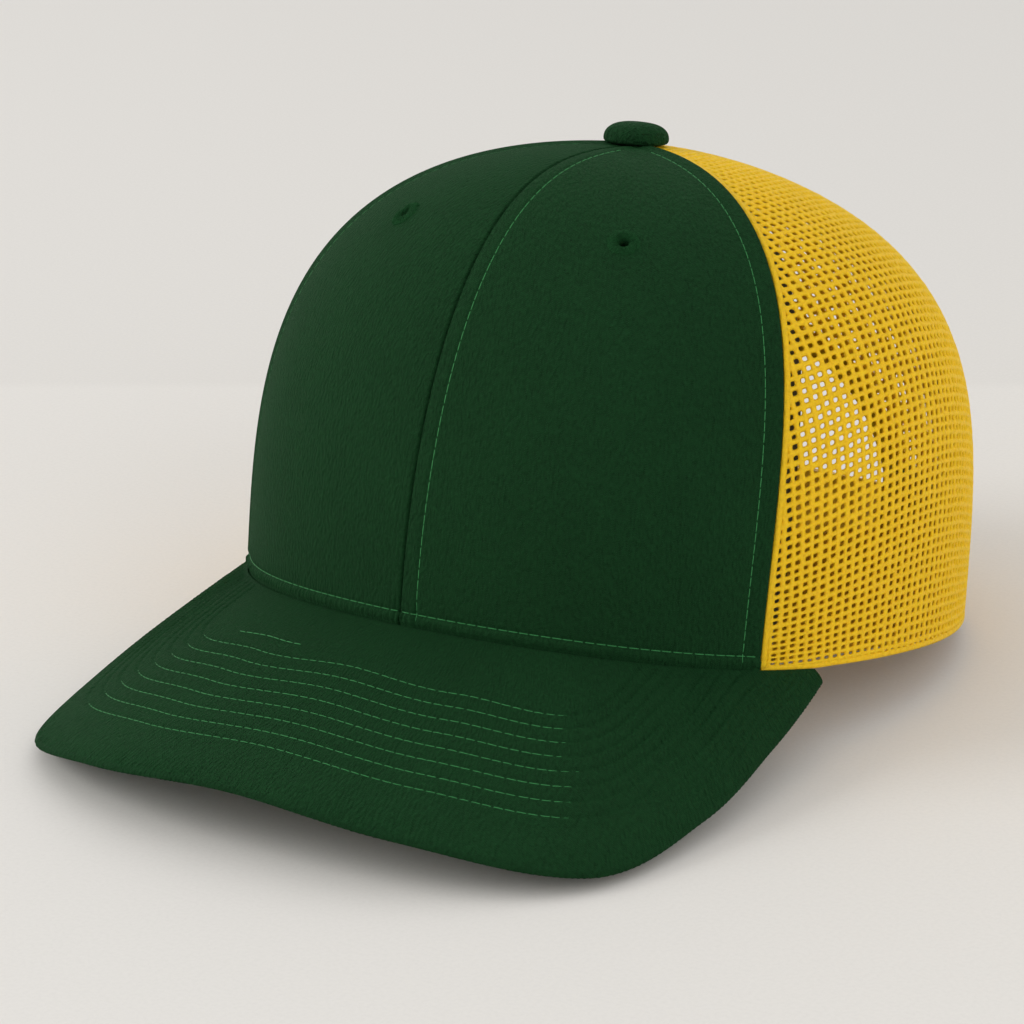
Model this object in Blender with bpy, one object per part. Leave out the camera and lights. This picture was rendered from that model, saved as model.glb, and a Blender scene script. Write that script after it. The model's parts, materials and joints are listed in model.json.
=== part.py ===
"""Mesh-back cap with a curved visor, a covered top button and a two-strap closure.

Lengths are in metres. The cap is modelled in its own frame: the crown's lower edge lies near
z = 0, the visor points to -Y and the wearer's left is +X. One empty then tilts the whole cap
back until it rests on the visor's corners and on the crown's rear edge.
"""

import math

import bmesh
import bpy
from mathutils import Matrix, Vector

# Crown: an oval base, meridians shaped by two exponents that change round the head
HALF_WIDTH = 0.096
HALF_LENGTH = 0.0968
REAR_LENGTH = 0.0905
CROWN_HEIGHT = 0.1171
REACH_POWER = (0.888, 0.122, 0.118)
RISE_POWER = (0.705, -0.018, -0.24)
PANEL_TOP = 0.952
REAR_EDGE_WAVE = 0.001
BASE_FADE = math.radians(60.0)
SKIRT_REST = 0.0003
SKIRT_DROP = 0.004
SKIRT_FADE = math.radians(14.0)
NORMAL_STEP = 0.004
PANEL_COLUMNS = 10
SIDE_COLUMNS = 15
PANEL_ROWS = 16
SMOOTH_ANGLE = math.radians(35.0)
REST_TILT = math.radians(9.97)

# Seams, as angles round the head: -90 degrees is the front, +90 the back
FRONT = -90.0
BACK = 90.0
FRONT_SEAM = -34.9
FRONT_SEAM_TWIST = 11.3
BACK_SEAM = 38.0
SEAM_GAP = 0.0004

# Depths below the crown's outer face: (outer side, inner side)
PANEL = (0.0, 0.0009)
BUCKRAM = (0.00135, 0.00195)
TAPE = (0.0024, 0.003)
FOAM = (0.00345, 0.00465)
BAND = (0.0051, 0.0061)
BAND_SPAN = (0.0008, 0.032)
FOAM_SPAN = (0.004, 0.029)
FOAM_ANGLES = (212.0, 328.0)
BAND_COLUMNS = 56
FOAM_COLUMNS = 22
BAND_ROWS = 3
BAND_END_GAP = 0.003
STRAP_TAB = (0.0014, 0.003)
BUCKRAM_TOP = 0.93
TAPE_WIDTH = 0.012
TAPE_START = 0.012
TAPE_END_RADIUS = 0.0165
TAPE_COLUMNS = (-1.0, -0.33, 0.33, 1.0)

# Visor: height = drop of a bent sheet, outline = reach from the line between its two ends
VISOR_RISE = 0.377
VISOR_BEND = 0.0244
VISOR_BEND_4 = 0.0049
VISOR_DIP = 0.0024
VISOR_DIP_LENGTH = 0.06
VISOR_OFFSET = 0.004
VISOR_END_ANGLE = -22.0
VISOR_REACH = ((0.0, 0.1267), (20.0, 0.1302), (40.0, 0.1295), (55.0, 0.1132), (70.0, 0.0988), (90.0, 0.089))
VISOR_GAP = 0.00035
VISOR_COVER = 0.0007
VISOR_BOARD = 0.0016
VISOR_LAYER_GAP = 0.0003
VISOR_LIP = 0.0009
VISOR_THICKNESS = 2 * (VISOR_COVER + VISOR_LAYER_GAP) + VISOR_BOARD
VISOR_COLUMNS = 40
VISOR_ROWS = 6
VISOR_TOP_SPAN = 86.5
VISOR_INNER_SPAN = 84.0

# Rear arch and closure
ARCH_HALF_WIDTH = 0.043
ARCH_HEIGHT = 0.058
ARCH_POWER = 2.4
BINDING_LEG = 0.0055
BINDING_THICKNESS = 0.0007
BINDING_GAP = 0.0003
BINDING_CLEARANCE = 0.002
BINDING_FOOT_GAP = 0.0012
BINDING_STEPS = 30
STRAP_BOTTOM = 0.003
STRAP_TOP = 0.0225
STRAP_THICKNESS = 0.0016
STRAP_GAP = 0.0005
STRAP_ROOT_X = 0.04
STRAP_TURN = math.radians(26.0)
HOLE_STRAP_END = 0.023
PEG_STRAP_END = 0.023
STRAP_SET_OUT = 0.0042
STRAP_CORNER = 0.003
STRAP_BEND_STEPS = 6
ROOT_SWINGS = (75.0, 50.0, 25.0)
TAB_END_X = 0.064
TAB_GAP = 0.0004
TAB_STEPS = 7
SNAP_PITCH = 0.0085
SNAP_COUNT = 7
PEG_RADIUS = 0.0019
PEG_PROUD = 0.0012
HOLE_RADIUS = 0.0026
SNAP_SIDES = 16
CUTTER_LENGTH = 0.008

# Button and eyelets
BUTTON_RADIUS = 0.0085
BUTTON_HEIGHT = 0.0056
BUTTON_SKIN = 0.0008
BUTTON_LIFT = 0.0003
BUTTON_BRIM = 0.0006
BUTTON_GAP = 0.0004
BUTTON_STEPS = 7
STEM_RADIUS = 0.0016
STEM_END = -0.0052
PLATE_TOP = -0.0034
PLATE_RADIUS = 0.0095
PLATE_THICKNESS = 0.0012
PLATE_BEVEL = 0.0004
EYELET_ANGLE = 30.5
EYELET_RISE = 0.605
EYELET_RADIUS = 0.0046
EYELET_HOLE = 0.0014
EYELET_SLEEVE = 0.0019
EYELET_CLEARANCE = 0.0004
EYELET_EDGE = 0.0003
EYELET_THICKNESS = 0.001
EYELET_SIDES = 20

GREEN = (0.022, 0.078, 0.031)
YELLOW = (0.72, 0.43, 0.035)
YELLOW_PLASTIC = (0.68, 0.4, 0.03)
WHITE_CLOTH = (0.62, 0.6, 0.54)
TAPE_GREY = (0.2, 0.17, 0.1)
FOAM_GREY = (0.35, 0.35, 0.34)
STEEL = (0.6, 0.6, 0.58)
BAND_GOLD = (0.62, 0.36, 0.03)
BOARD_WHITE = (0.75, 0.75, 0.72)


def clear_scene():
    for item in list(bpy.data.objects):
        bpy.data.objects.remove(item, do_unlink=True)


def make_material(name, colour, roughness, metallic=0.0):
    material = bpy.data.materials.new(name)
    material.use_nodes = True
    shader = material.node_tree.nodes["Principled BSDF"]
    shader.inputs["Base Color"].default_value = (*colour, 1.0)
    shader.inputs["Roughness"].default_value = roughness
    shader.inputs["Metallic"].default_value = metallic
    material.diffuse_color = (*colour, 1.0)
    return material


def smooth_step(value):
    value = min(max(value, 0.0), 1.0)
    return value * value * (3.0 - 2.0 * value)


def visor_height(x, y):
    forward = y + HALF_LENGTH
    across = x / HALF_WIDTH
    bend = VISOR_BEND * across**2 + VISOR_BEND_4 * across**4
    dip = VISOR_DIP * (forward / VISOR_DIP_LENGTH) ** 2
    return VISOR_OFFSET + VISOR_RISE * forward - bend - dip


def visor_steepness(x, y):
    """Length of the visor surface's unscaled normal, so depth / steepness is a true thickness."""
    slope_x = 2 * VISOR_BEND * x / HALF_WIDTH**2 + 4 * VISOR_BEND_4 * x**3 / HALF_WIDTH**4
    slope_y = VISOR_RISE - 2 * VISOR_DIP * (y + HALF_LENGTH) / VISOR_DIP_LENGTH**2
    return math.sqrt(1.0 + slope_x**2 + slope_y**2)


def base_point(angle):
    length = HALF_LENGTH if math.sin(angle) < 0 else REAR_LENGTH
    return HALF_WIDTH * math.cos(angle), length * math.sin(angle)


def angle_from_front(angle):
    return abs((angle + math.pi / 2 + math.pi) % (2 * math.pi) - math.pi)


def base_height(angle):
    """Height of the visible lower edge: on the visor in front, fading to level behind."""
    from_front = angle_from_front(angle)
    attached = math.pi / 2 + math.radians(VISOR_END_ANGLE)
    x, y = base_point(min(from_front, attached) - math.pi / 2)
    fade = smooth_step((from_front - attached) / BASE_FADE)
    return visor_height(x, y) * (1.0 - fade) - REAR_EDGE_WAVE * math.cos(2 * angle) * fade


def seam_allowance(angle):
    """How far the panel goes down behind the visor's inner edge."""
    attached = math.pi / 2 + math.radians(VISOR_END_ANGLE)
    fade = smooth_step((angle_from_front(angle) - attached) / SKIRT_FADE)
    return SKIRT_REST + SKIRT_DROP * (1.0 - fade)


def powers(angle):
    sine = math.sin(angle)
    double = math.cos(2 * angle)
    reach = REACH_POWER[0] + REACH_POWER[1] * sine + REACH_POWER[2] * double
    rise = RISE_POWER[0] + RISE_POWER[1] * sine + RISE_POWER[2] * double
    return reach, rise


def crown_point(angle, level):
    """Outer face of the crown: level 0 is the lower edge, 1 the apex."""
    reach_power, rise_power = powers(angle)
    turn = level * math.pi / 2
    reach = math.cos(turn) ** reach_power
    rise = math.sin(turn) ** rise_power if level > 0 else 0.0
    x, y = base_point(angle)
    height = CROWN_HEIGHT * rise + base_height(angle) * (1.0 - rise)
    return Vector((reach * x, reach * y, height))


def crown_normal(angle, level):
    step = NORMAL_STEP
    level = max(level, 2 * step)
    along = crown_point(angle + step, level) - crown_point(angle - step, level)
    up = crown_point(angle, level + step) - crown_point(angle, level - step)
    return along.cross(up).normalized()


def crown_layer(angle, level, depth):
    return crown_point(angle, level) - crown_normal(angle, level) * depth


def level_at_height(angle, height):
    low = base_height(angle)
    share = max((height - low) / (CROWN_HEIGHT - low), 0.0)
    turn = math.asin(min(share ** (1.0 / powers(angle)[1]), 1.0))
    return turn / (math.pi / 2)


def local_radius(level):
    return HALF_WIDTH * math.cos(level * math.pi / 2) ** REACH_POWER[0]


def loft(name, material, sections):
    """Closed body through sections whose point i faces point -1-i across the thickness."""
    mesh_data = bmesh.new()
    rings = [[mesh_data.verts.new(point) for point in section] for section in sections]
    count = len(rings[0])
    for ring, following in zip(rings, rings[1:]):
        for i in range(count):
            j = (i + 1) % count
            mesh_data.faces.new((ring[i], ring[j], following[j], following[i]))
    for ring in (rings[0], rings[-1]):
        for i in range(count // 2 - 1):
            mesh_data.faces.new((ring[i], ring[i + 1], ring[count - 2 - i], ring[count - 1 - i]))
    return finish_mesh(name, material, mesh_data)


def lathe(name, material, profile, steps=28):
    """Closed ring or plug from a closed profile of (radius, height) points."""
    mesh_data = bmesh.new()
    rings = []
    for k in range(steps):
        turn = 2 * math.pi * k / steps
        ring = [mesh_data.verts.new((r * math.cos(turn), r * math.sin(turn), z)) for r, z in profile]
        rings.append(ring)
    for k in range(steps):
        ring = rings[k]
        following = rings[(k + 1) % steps]
        for i in range(len(profile)):
            j = (i + 1) % len(profile)
            mesh_data.faces.new((ring[i], ring[j], following[j], following[i]))
    bmesh.ops.remove_doubles(mesh_data, verts=mesh_data.verts, dist=1e-6)
    return finish_mesh(name, material, mesh_data)


def finish_mesh(name, material, mesh_data):
    bmesh.ops.recalc_face_normals(mesh_data, faces=mesh_data.faces)
    mesh = bpy.data.meshes.new(name)
    mesh_data.to_mesh(mesh)
    mesh_data.free()
    mesh.shade_smooth()
    mesh.set_sharp_from_angle(angle=SMOOTH_ANGLE)
    piece = bpy.data.objects.new(name, mesh)
    bpy.context.scene.collection.objects.link(piece)
    piece.parent = bpy.data.objects["cap_frame"]
    piece.data.materials.append(material)
    return piece


def move_origin(piece, point):
    piece.data.transform(Matrix.Translation(-point))
    piece.location = point


def helper_rod(name, radius, length, place, direction, sides=20):
    """A rod that only cuts or joins; it isn't part of the cap."""
    mesh_data = bmesh.new()
    bmesh.ops.create_cone(
        mesh_data, cap_ends=True, segments=sides, radius1=radius, radius2=radius, depth=length
    )
    mesh = bpy.data.meshes.new(name)
    mesh_data.to_mesh(mesh)
    mesh_data.free()
    rod = bpy.data.objects.new(name, mesh)
    bpy.context.scene.collection.objects.link(rod)
    rod.parent = bpy.data.objects["cap_frame"]
    rod.location = place
    rod.rotation_euler = direction.to_track_quat("Z", "Y").to_euler()
    rod.hide_render = True
    rod.display_type = "WIRE"
    return rod


def combine(piece, tool, operation):
    modifier = piece.modifiers.new(tool.name, "BOOLEAN")
    modifier.operation = operation
    modifier.object = tool


def shell_section(angle_at, levels, depth, skirt=0.0):
    outer = []
    inner = []
    for row, level in enumerate(levels):
        drop = Vector((0, 0, skirt)) if row == 0 else Vector((0, 0, 0))
        angle = angle_at(level)
        outer.append(crown_layer(angle, level, depth[0]) - drop)
        inner.append(crown_layer(angle, level, depth[1]) - drop)
    return outer + inner[::-1]


def seam_angle(seam, level):
    """Angle of a seam at a level; the two front side seams lean a little."""
    if abs(seam) == abs(FRONT_SEAM):
        return seam + FRONT_SEAM_TWIST * level
    return seam


def crown_panel(name, material, first, last, depth, columns, rows, side, top=PANEL_TOP, skirt=True):
    """Panel between two seams of the +X half; side -1 mirrors it to -X."""
    def column(share):
        def angle_at(level):
            margin = SEAM_GAP / 2 / local_radius(level)
            low = math.radians(seam_angle(first, level)) + margin
            high = math.radians(seam_angle(last, level)) - margin
            return low + (high - low) * share
        return angle_at

    sections = []
    for share in columns:
        angle_at = column(share)
        foot = angle_at(0.0)
        start = arch_level(foot)
        levels = [start + (top - start) * row / rows for row in range(rows + 1)]
        allowance = seam_allowance(foot) if skirt and start == 0.0 else 0.0
        section = shell_section(angle_at, levels, depth, allowance)
        sections.append([Vector((side * p.x, p.y, p.z)) for p in section])
    return loft(name, material, sections)


def arch_level(angle):
    """Level at which a panel starts: above the arch behind, else the lower edge."""
    x = abs(base_point(angle)[0])
    if x >= ARCH_HALF_WIDTH or math.sin(angle) < 0:
        return 0.0
    share = x / ARCH_HALF_WIDTH
    height = ARCH_HEIGHT * (1.0 - share**ARCH_POWER) ** (1.0 / ARCH_POWER)
    return level_at_height(angle, height)


def even(count):
    return [i / count for i in range(count + 1)]


def back_columns():
    """Columns of a back panel, closer together where the arch is steep."""
    arch_foot = math.degrees(math.acos(ARCH_HALF_WIDTH / HALF_WIDTH))
    foot_share = (arch_foot - BACK_SEAM) / (BACK - BACK_SEAM)
    plain = [foot_share * share for share in even(5)]
    arch = [foot_share + (1.0 - foot_share) * (1.0 - math.cos(share * math.pi / 2)) for share in even(11)]
    return plain[:-1] + [foot_share - 0.004] + arch[1:]


def build_panels(materials):
    for side, label in ((1, "left"), (-1, "right")):
        front = crown_panel(
            f"front_panel_{label}", materials["green_cloth"], FRONT, FRONT_SEAM, PANEL,
            even(PANEL_COLUMNS), PANEL_ROWS, side
        )
        stiffener = crown_panel(
            f"front_buckram_{label}", materials["buckram"], FRONT, FRONT_SEAM, BUCKRAM,
            even(PANEL_COLUMNS), PANEL_ROWS, side, BUCKRAM_TOP, False
        )
        crown_panel(
            f"mesh_side_{label}", materials["netting"], FRONT_SEAM, BACK_SEAM, PANEL,
            even(SIDE_COLUMNS), PANEL_ROWS, side
        )
        crown_panel(
            f"mesh_back_{label}", materials["netting"], BACK_SEAM, BACK, PANEL,
            back_columns(), PANEL_ROWS, side
        )
        build_eyelet(label, side, (front, stiffener), materials["green_thread"])


def build_tape(name, material, seam, side):
    """Strip of constant width behind a seam, from the lower edge to near the button."""
    top = math.acos((TAPE_END_RADIUS / HALF_WIDTH) ** (1 / REACH_POWER[0])) / (math.pi / 2)
    start = TAPE_START
    if seam == BACK:
        start = level_at_height(math.pi / 2, ARCH_HEIGHT + BINDING_LEG + BINDING_CLEARANCE)
    levels = [start + (top - start) * share for share in even(PANEL_ROWS)]
    sections = []
    for offset in TAPE_COLUMNS:
        def angle_at(level):
            half = TAPE_WIDTH / 2 / local_radius(level)
            return math.radians(seam_angle(seam, level)) + offset * half
        section = shell_section(angle_at, levels, TAPE)
        sections.append([Vector((side * p.x, p.y, p.z)) for p in section])
    return loft(name, material, sections)


def build_tapes(material):
    build_tape("seam_tape_front", material, FRONT, 1)
    build_tape("seam_tape_back", material, BACK, 1)
    for side, label in ((1, "left"), (-1, "right")):
        build_tape(f"seam_tape_front_side_{label}", material, FRONT_SEAM, side)
        build_tape(f"seam_tape_back_side_{label}", material, BACK_SEAM, side)


def build_eyelet(label, side, holed, material):
    """Worked eyelet: a thick ring on the panel with a sleeve through panel and stiffener."""
    angle = math.radians(FRONT + EYELET_ANGLE)
    place = crown_point(angle, EYELET_RISE)
    normal = crown_normal(angle, EYELET_RISE)
    place.x *= side
    normal.x *= side
    below = -BUCKRAM[0] - EYELET_EDGE
    rim = EYELET_CLEARANCE
    crest = rim + EYELET_THICKNESS
    profile = [
        (EYELET_HOLE, below), (EYELET_SLEEVE, below), (EYELET_SLEEVE, rim),
        (EYELET_RADIUS, rim), (EYELET_RADIUS, rim + EYELET_EDGE),
        (EYELET_RADIUS - 3 * EYELET_EDGE, crest - EYELET_EDGE / 2),
        (EYELET_HOLE + 3 * EYELET_EDGE, crest), (EYELET_HOLE, rim + EYELET_THICKNESS / 2),
    ]
    ring = lathe(f"eyelet_{label}", material, profile, EYELET_SIDES)
    ring.location = place
    ring.rotation_euler = normal.to_track_quat("Z", "Y").to_euler()
    hole_radius = EYELET_SLEEVE + EYELET_EDGE
    cutter = helper_rod(f"cut_eyelet_{label}", hole_radius, CUTTER_LENGTH, place, normal)
    for piece in holed:
        combine(piece, cutter, "DIFFERENCE")


def visor_reach(angle):
    """Reach of the visor's outline at an angle from straight ahead, through VISOR_REACH."""
    angle = abs(math.degrees(angle))
    stops = VISOR_REACH
    k = 0
    while k < len(stops) - 2 and angle > stops[k + 1][0]:
        k += 1
    (a0, r0), (a1, r1) = stops[k], stops[k + 1]
    before = stops[k - 1] if k > 0 else (-stops[1][0], stops[1][1])
    after = stops[k + 2] if k + 2 < len(stops) else (2 * a1 - a0, 2 * r1 - r0)
    slope0 = (r1 - before[1]) / (a1 - before[0])
    slope1 = (after[1] - r0) / (after[0] - a0)
    t = (angle - a0) / (a1 - a0)
    span = a1 - a0
    return (
        (2 * t**3 - 3 * t**2 + 1) * r0 + (t**3 - 2 * t**2 + t) * span * slope0
        + (-2 * t**3 + 3 * t**2) * r1 + (t**3 - t**2) * span * slope1
    )


def visor_root(angle):
    """Distance from the visor's centre of reach to the crown's base oval."""
    centre = HALF_LENGTH * math.sin(math.radians(VISOR_END_ANGLE))
    width = HALF_WIDTH + VISOR_GAP
    length = HALF_LENGTH + VISOR_GAP
    run_x = math.sin(angle)
    run_y = -math.cos(angle)
    a = (run_x / width) ** 2 + (run_y / length) ** 2
    b = 2 * centre * run_y / length**2
    c = (centre / length) ** 2 - 1
    return (-b + math.sqrt(b * b - 4 * a * c)) / (2 * a)


def visor_layer(name, material, inset, top, bottom, lip=None):
    """One layer of the visor; lip turns its front edge down to that depth."""
    centre = HALF_LENGTH * math.sin(math.radians(VISOR_END_ANGLE))
    rows = VISOR_ROWS
    angles = [VISOR_INNER_SPAN * (2 * share - 1) for share in even(VISOR_COLUMNS)]
    if lip:
        angles = [-VISOR_TOP_SPAN] + angles + [VISOR_TOP_SPAN]
    sections = []
    for angle in map(math.radians, angles):
        step = 0.01
        lean = (visor_reach(angle + step) - visor_reach(angle - step)) / (2 * step) / visor_reach(angle)
        stretch = math.sqrt(1 + lean**2)
        root = visor_root(angle)
        edge = visor_reach(angle) - inset * stretch
        inner_edge = edge - (VISOR_LIP * stretch if lip else 0.0)

        def point(reach, depth):
            x = reach * math.sin(angle)
            y = centre - reach * math.cos(angle)
            return Vector((x, y, visor_height(x, y) - depth * visor_steepness(x, y)))

        upper = [point(root + (edge - root) * share, top) for share in even(rows)]
        lower = [point(root + (inner_edge - root) * share, bottom) for share in even(rows)]
        if lip:
            upper.append(point(edge, lip))
            lower.append(point(inner_edge, lip))
        sections.append(upper + lower[::-1])
    return loft(name, material, sections)


def build_visor(materials):
    board_top = VISOR_COVER + VISOR_LAYER_GAP
    board_bottom = board_top + VISOR_BOARD
    under_top = board_bottom + VISOR_LAYER_GAP
    inset = VISOR_LIP + VISOR_LAYER_GAP
    cloth = materials["green_cloth"]
    visor_layer("visor_top_cover", cloth, 0.0, 0.0, VISOR_COVER, VISOR_THICKNESS)
    visor_layer("visor_board", materials["visor_board"], inset, board_top, board_bottom)
    visor_layer("visor_under_cover", cloth, inset, under_top, VISOR_THICKNESS)


def build_sweatband(materials):
    """Band round the inside of the lower edge, open behind, with a foam pad in front."""
    end = math.degrees(math.acos((ARCH_HALF_WIDTH + BAND_END_GAP) / HALF_WIDTH))
    bands = (
        ("sweatband", materials["sweatband"], BAND, (180.0 - end, 360.0 + end), BAND_COLUMNS, BAND_SPAN),
        ("sweatband_foam", materials["foam"], FOAM, FOAM_ANGLES, FOAM_COLUMNS, FOAM_SPAN),
    )
    for name, material, depth, (first, last), columns, (low, high) in bands:
        sections = []
        for share in even(columns):
            angle = math.radians(first + (last - first) * share)
            start = base_height(angle) + low
            levels = [level_at_height(angle, start + (high - start) * row) for row in even(BAND_ROWS)]
            sections.append(shell_section(lambda level: angle, levels, depth))
        loft(name, material, sections)


def build_binding(material):
    """Tape folded over the arch's edge, from strap to strap."""
    sections = []
    lowest = STRAP_TOP + BINDING_FOOT_GAP
    low_share = (1.0 - (lowest / ARCH_HEIGHT) ** ARCH_POWER) ** (1.0 / ARCH_POWER)
    half_turn = math.asin(low_share ** (ARCH_POWER / 2))
    steps = BINDING_STEPS
    edge_points = []
    for k in range(steps + 1):
        turn = half_turn * (2 * k / steps - 1)
        share = math.copysign(abs(math.sin(turn)) ** (2 / ARCH_POWER), turn)
        x = ARCH_HALF_WIDTH * share
        height = ARCH_HEIGHT * math.cos(turn) ** (2 / ARCH_POWER)
        angle = math.acos(x / HALF_WIDTH)
        level = level_at_height(angle, height)
        edge_points.append((crown_point(angle, level), crown_normal(angle, level)))
    for k, (place, normal) in enumerate(edge_points):
        before = edge_points[max(k - 1, 0)][0]
        after = edge_points[min(k + 1, steps)][0]
        along = (after - before).normalized()
        away = normal.cross(along).normalized()
        if away.dot(Vector((place.x, 0, place.z))) < 0:
            away = -away

        def point(outwards, inset):
            return place + normal * outwards + away * inset

        face = BINDING_GAP
        back = -PANEL[1] - BINDING_GAP
        thick = BINDING_THICKNESS
        outside = [
            point(face + thick, BINDING_LEG), point(face + thick, -BINDING_GAP - thick),
            point(back - thick, -BINDING_GAP - thick), point(back - thick, BINDING_LEG),
        ]
        inside = [
            point(face, BINDING_LEG), point(face, -BINDING_GAP),
            point(back, -BINDING_GAP), point(back, BINDING_LEG),
        ]
        sections.append(outside + inside[::-1])
    loft("arch_binding", material, sections)


def tab_point(x, depth, height):
    """Point of an upright strap tab, set back as far as the leaning crown needs at its top."""
    angle = math.acos(x / HALF_WIDTH)
    point = crown_layer(angle, level_at_height(angle, STRAP_TOP), depth)
    point.z = height
    return point


def strap_root():
    """Middle of the strap's thickness at its root, on the +X side."""
    return tab_point(STRAP_ROOT_X, sum(STRAP_TAB) / 2, 0.0)


def strap_path(inward, far_end):
    """Centre line of a free strap from its root at +X: one bend, then straight along X."""
    root = strap_root()
    bend_rise = STRAP_SET_OUT - inward
    radius = bend_rise / (1 - math.cos(STRAP_TURN))
    path = []
    steps = STRAP_BEND_STEPS
    for k in range(steps + 1):
        turn = STRAP_TURN * (1 - k / steps)
        x = root.x - radius * (math.sin(STRAP_TURN) - math.sin(turn))
        y = root.y + radius * (math.cos(turn) - math.cos(STRAP_TURN))
        path.append((Vector((x, y, 0)), turn))
    last = path[-1][0]
    for k in range(1, steps + 1):
        x = last.x + (-far_end - last.x) * k / steps
        path.append((Vector((x, last.y, 0)), 0.0))
    return path


def strap_section(place, turn, half_thickness, shrink=0.0):
    outwards = Vector((math.sin(turn), math.cos(turn), 0)) * half_thickness
    low = Vector((0, 0, STRAP_BOTTOM + shrink))
    high = Vector((0, 0, STRAP_TOP - shrink))
    return [place + outwards + low, place + outwards + high, place - outwards + high, place - outwards + low]


def build_strap(name, material, side, inward, far_end):
    half = STRAP_THICKNESS / 2
    path = strap_path(inward, far_end)
    sections = []
    root, turn = path[0]
    for swing in map(math.radians, ROOT_SWINGS):
        back = Vector((math.cos(turn), -math.sin(turn), 0)) * half * math.sin(swing)
        sections.append(strap_section(root + back, turn, half * math.cos(swing)))
    for place, turn in path:
        sections.append(strap_section(place, turn, half))
    tip, turn = path[-1]
    for share in (0.35, 0.75, 1.0):
        swing = share * math.pi / 2
        offset = Vector((-STRAP_CORNER * math.sin(swing), 0, 0))
        sections.append(strap_section(tip + offset, turn, half, STRAP_CORNER * (1 - math.cos(swing))))
    sections = [[Vector((side * p.x, p.y, p.z)) for p in section] for section in sections]
    strap = loft(name, material, sections)
    pivot = Vector((side * root.x, root.y, (STRAP_BOTTOM + STRAP_TOP) / 2))
    move_origin(strap, pivot)
    return strap, path[-1][0].y


def build_tab(name, material, side):
    """Sewn end of a strap, between the netting and the sweatband, clear of the strap's round root."""
    first = STRAP_ROOT_X + STRAP_THICKNESS / 2 + TAB_GAP
    corners = (
        (STRAP_TAB[0], STRAP_BOTTOM), (STRAP_TAB[0], STRAP_TOP),
        (STRAP_TAB[1], STRAP_TOP), (STRAP_TAB[1], STRAP_BOTTOM),
    )
    sections = []
    for share in even(TAB_STEPS):
        x = first + (TAB_END_X - first) * share
        section = [tab_point(x, depth, height) for depth, height in corners]
        sections.append([Vector((side * p.x, p.y, p.z)) for p in section])
    return loft(name, material, sections)


def build_closure(material):
    """Outer strap with holes from the wearer's right, inner strap with pegs from the left."""
    build_tab("hole_strap_tab", material, -1)
    build_tab("peg_strap_tab", material, 1)
    inward = STRAP_THICKNESS + STRAP_GAP
    outer_strap, outer_y = build_strap("hole_strap", material, -1, 0.0, HOLE_STRAP_END)
    inner_strap, inner_y = build_strap("peg_strap", material, 1, inward, PEG_STRAP_END)
    middle = (STRAP_BOTTOM + STRAP_TOP) / 2
    outwards = Vector((0, 1, 0))
    peg_end = outer_y + STRAP_THICKNESS / 2 + PEG_PROUD
    peg_length = peg_end - inner_y
    for k in range(SNAP_COUNT):
        hole_x = (k - SNAP_COUNT / 2) * SNAP_PITCH
        cutter = helper_rod(
            f"cut_snap_{k}", HOLE_RADIUS, CUTTER_LENGTH,
            Vector((hole_x, outer_y, middle)), outwards, SNAP_SIDES,
        )
        combine(outer_strap, cutter, "DIFFERENCE")
        peg_x = hole_x + SNAP_PITCH
        peg = helper_rod(
            f"join_peg_{k}", PEG_RADIUS, peg_length,
            Vector((peg_x, (inner_y + peg_end) / 2, middle)), outwards, SNAP_SIDES,
        )
        combine(inner_strap, peg, "UNION")


def build_button(materials):
    """Covered button: cloth dome, metal core with a stem, and a washer inside the crown."""
    apex = Vector((0, 0, CROWN_HEIGHT))
    dome = []
    for share in even(BUTTON_STEPS):
        turn = math.pi / 2 * share
        dome.append((math.cos(turn), math.sin(turn)))
    floor = BUTTON_LIFT + BUTTON_BRIM
    height = BUTTON_HEIGHT - BUTTON_BRIM
    outer = [(BUTTON_RADIUS * c, floor + height * s) for c, s in dome]
    hollow = BUTTON_RADIUS - BUTTON_SKIN
    hollow_height = height - BUTTON_SKIN
    inner = [(hollow * c, floor + hollow_height * s) for c, s in dome[::-1]]
    rim = [(hollow, BUTTON_LIFT), (BUTTON_RADIUS - BUTTON_BRIM / 2, BUTTON_LIFT)]
    cover = lathe("button_cover", materials["green_cloth"], outer + inner + rim)
    cover.location = apex

    core_radius = hollow - BUTTON_GAP
    core_height = hollow_height - BUTTON_GAP
    core_dome = [(core_radius * c, floor + core_height * s) for c, s in dome]
    core = lathe(
        "button_core", materials["button_core"],
        core_dome + [(0.0, STEM_END), (STEM_RADIUS, STEM_END), (STEM_RADIUS, floor)],
    )
    core.location = apex

    bore = STEM_RADIUS + BUTTON_GAP
    plate_bottom = PLATE_TOP - PLATE_THICKNESS
    plate = lathe(
        "button_back_plate", materials["button_core"],
        [(bore, PLATE_TOP), (PLATE_RADIUS - PLATE_BEVEL, PLATE_TOP),
         (PLATE_RADIUS, PLATE_TOP - PLATE_BEVEL), (PLATE_RADIUS, plate_bottom), (bore, plate_bottom)],
    )
    plate.location = apex


def settle(frame):
    """Put the middle of the cap's footprint at the origin, with its lowest point on z = 0."""
    bpy.context.view_layer.update()
    corners = []
    for piece in bpy.data.objects:
        if piece.type == "MESH" and not piece.hide_render:
            corners += [piece.matrix_world @ vertex.co for vertex in piece.data.vertices]
    for axis in (0, 1):
        values = [corner[axis] for corner in corners]
        frame.location[axis] -= (min(values) + max(values)) / 2
    frame.location.z -= min(corner.z for corner in corners)


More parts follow.
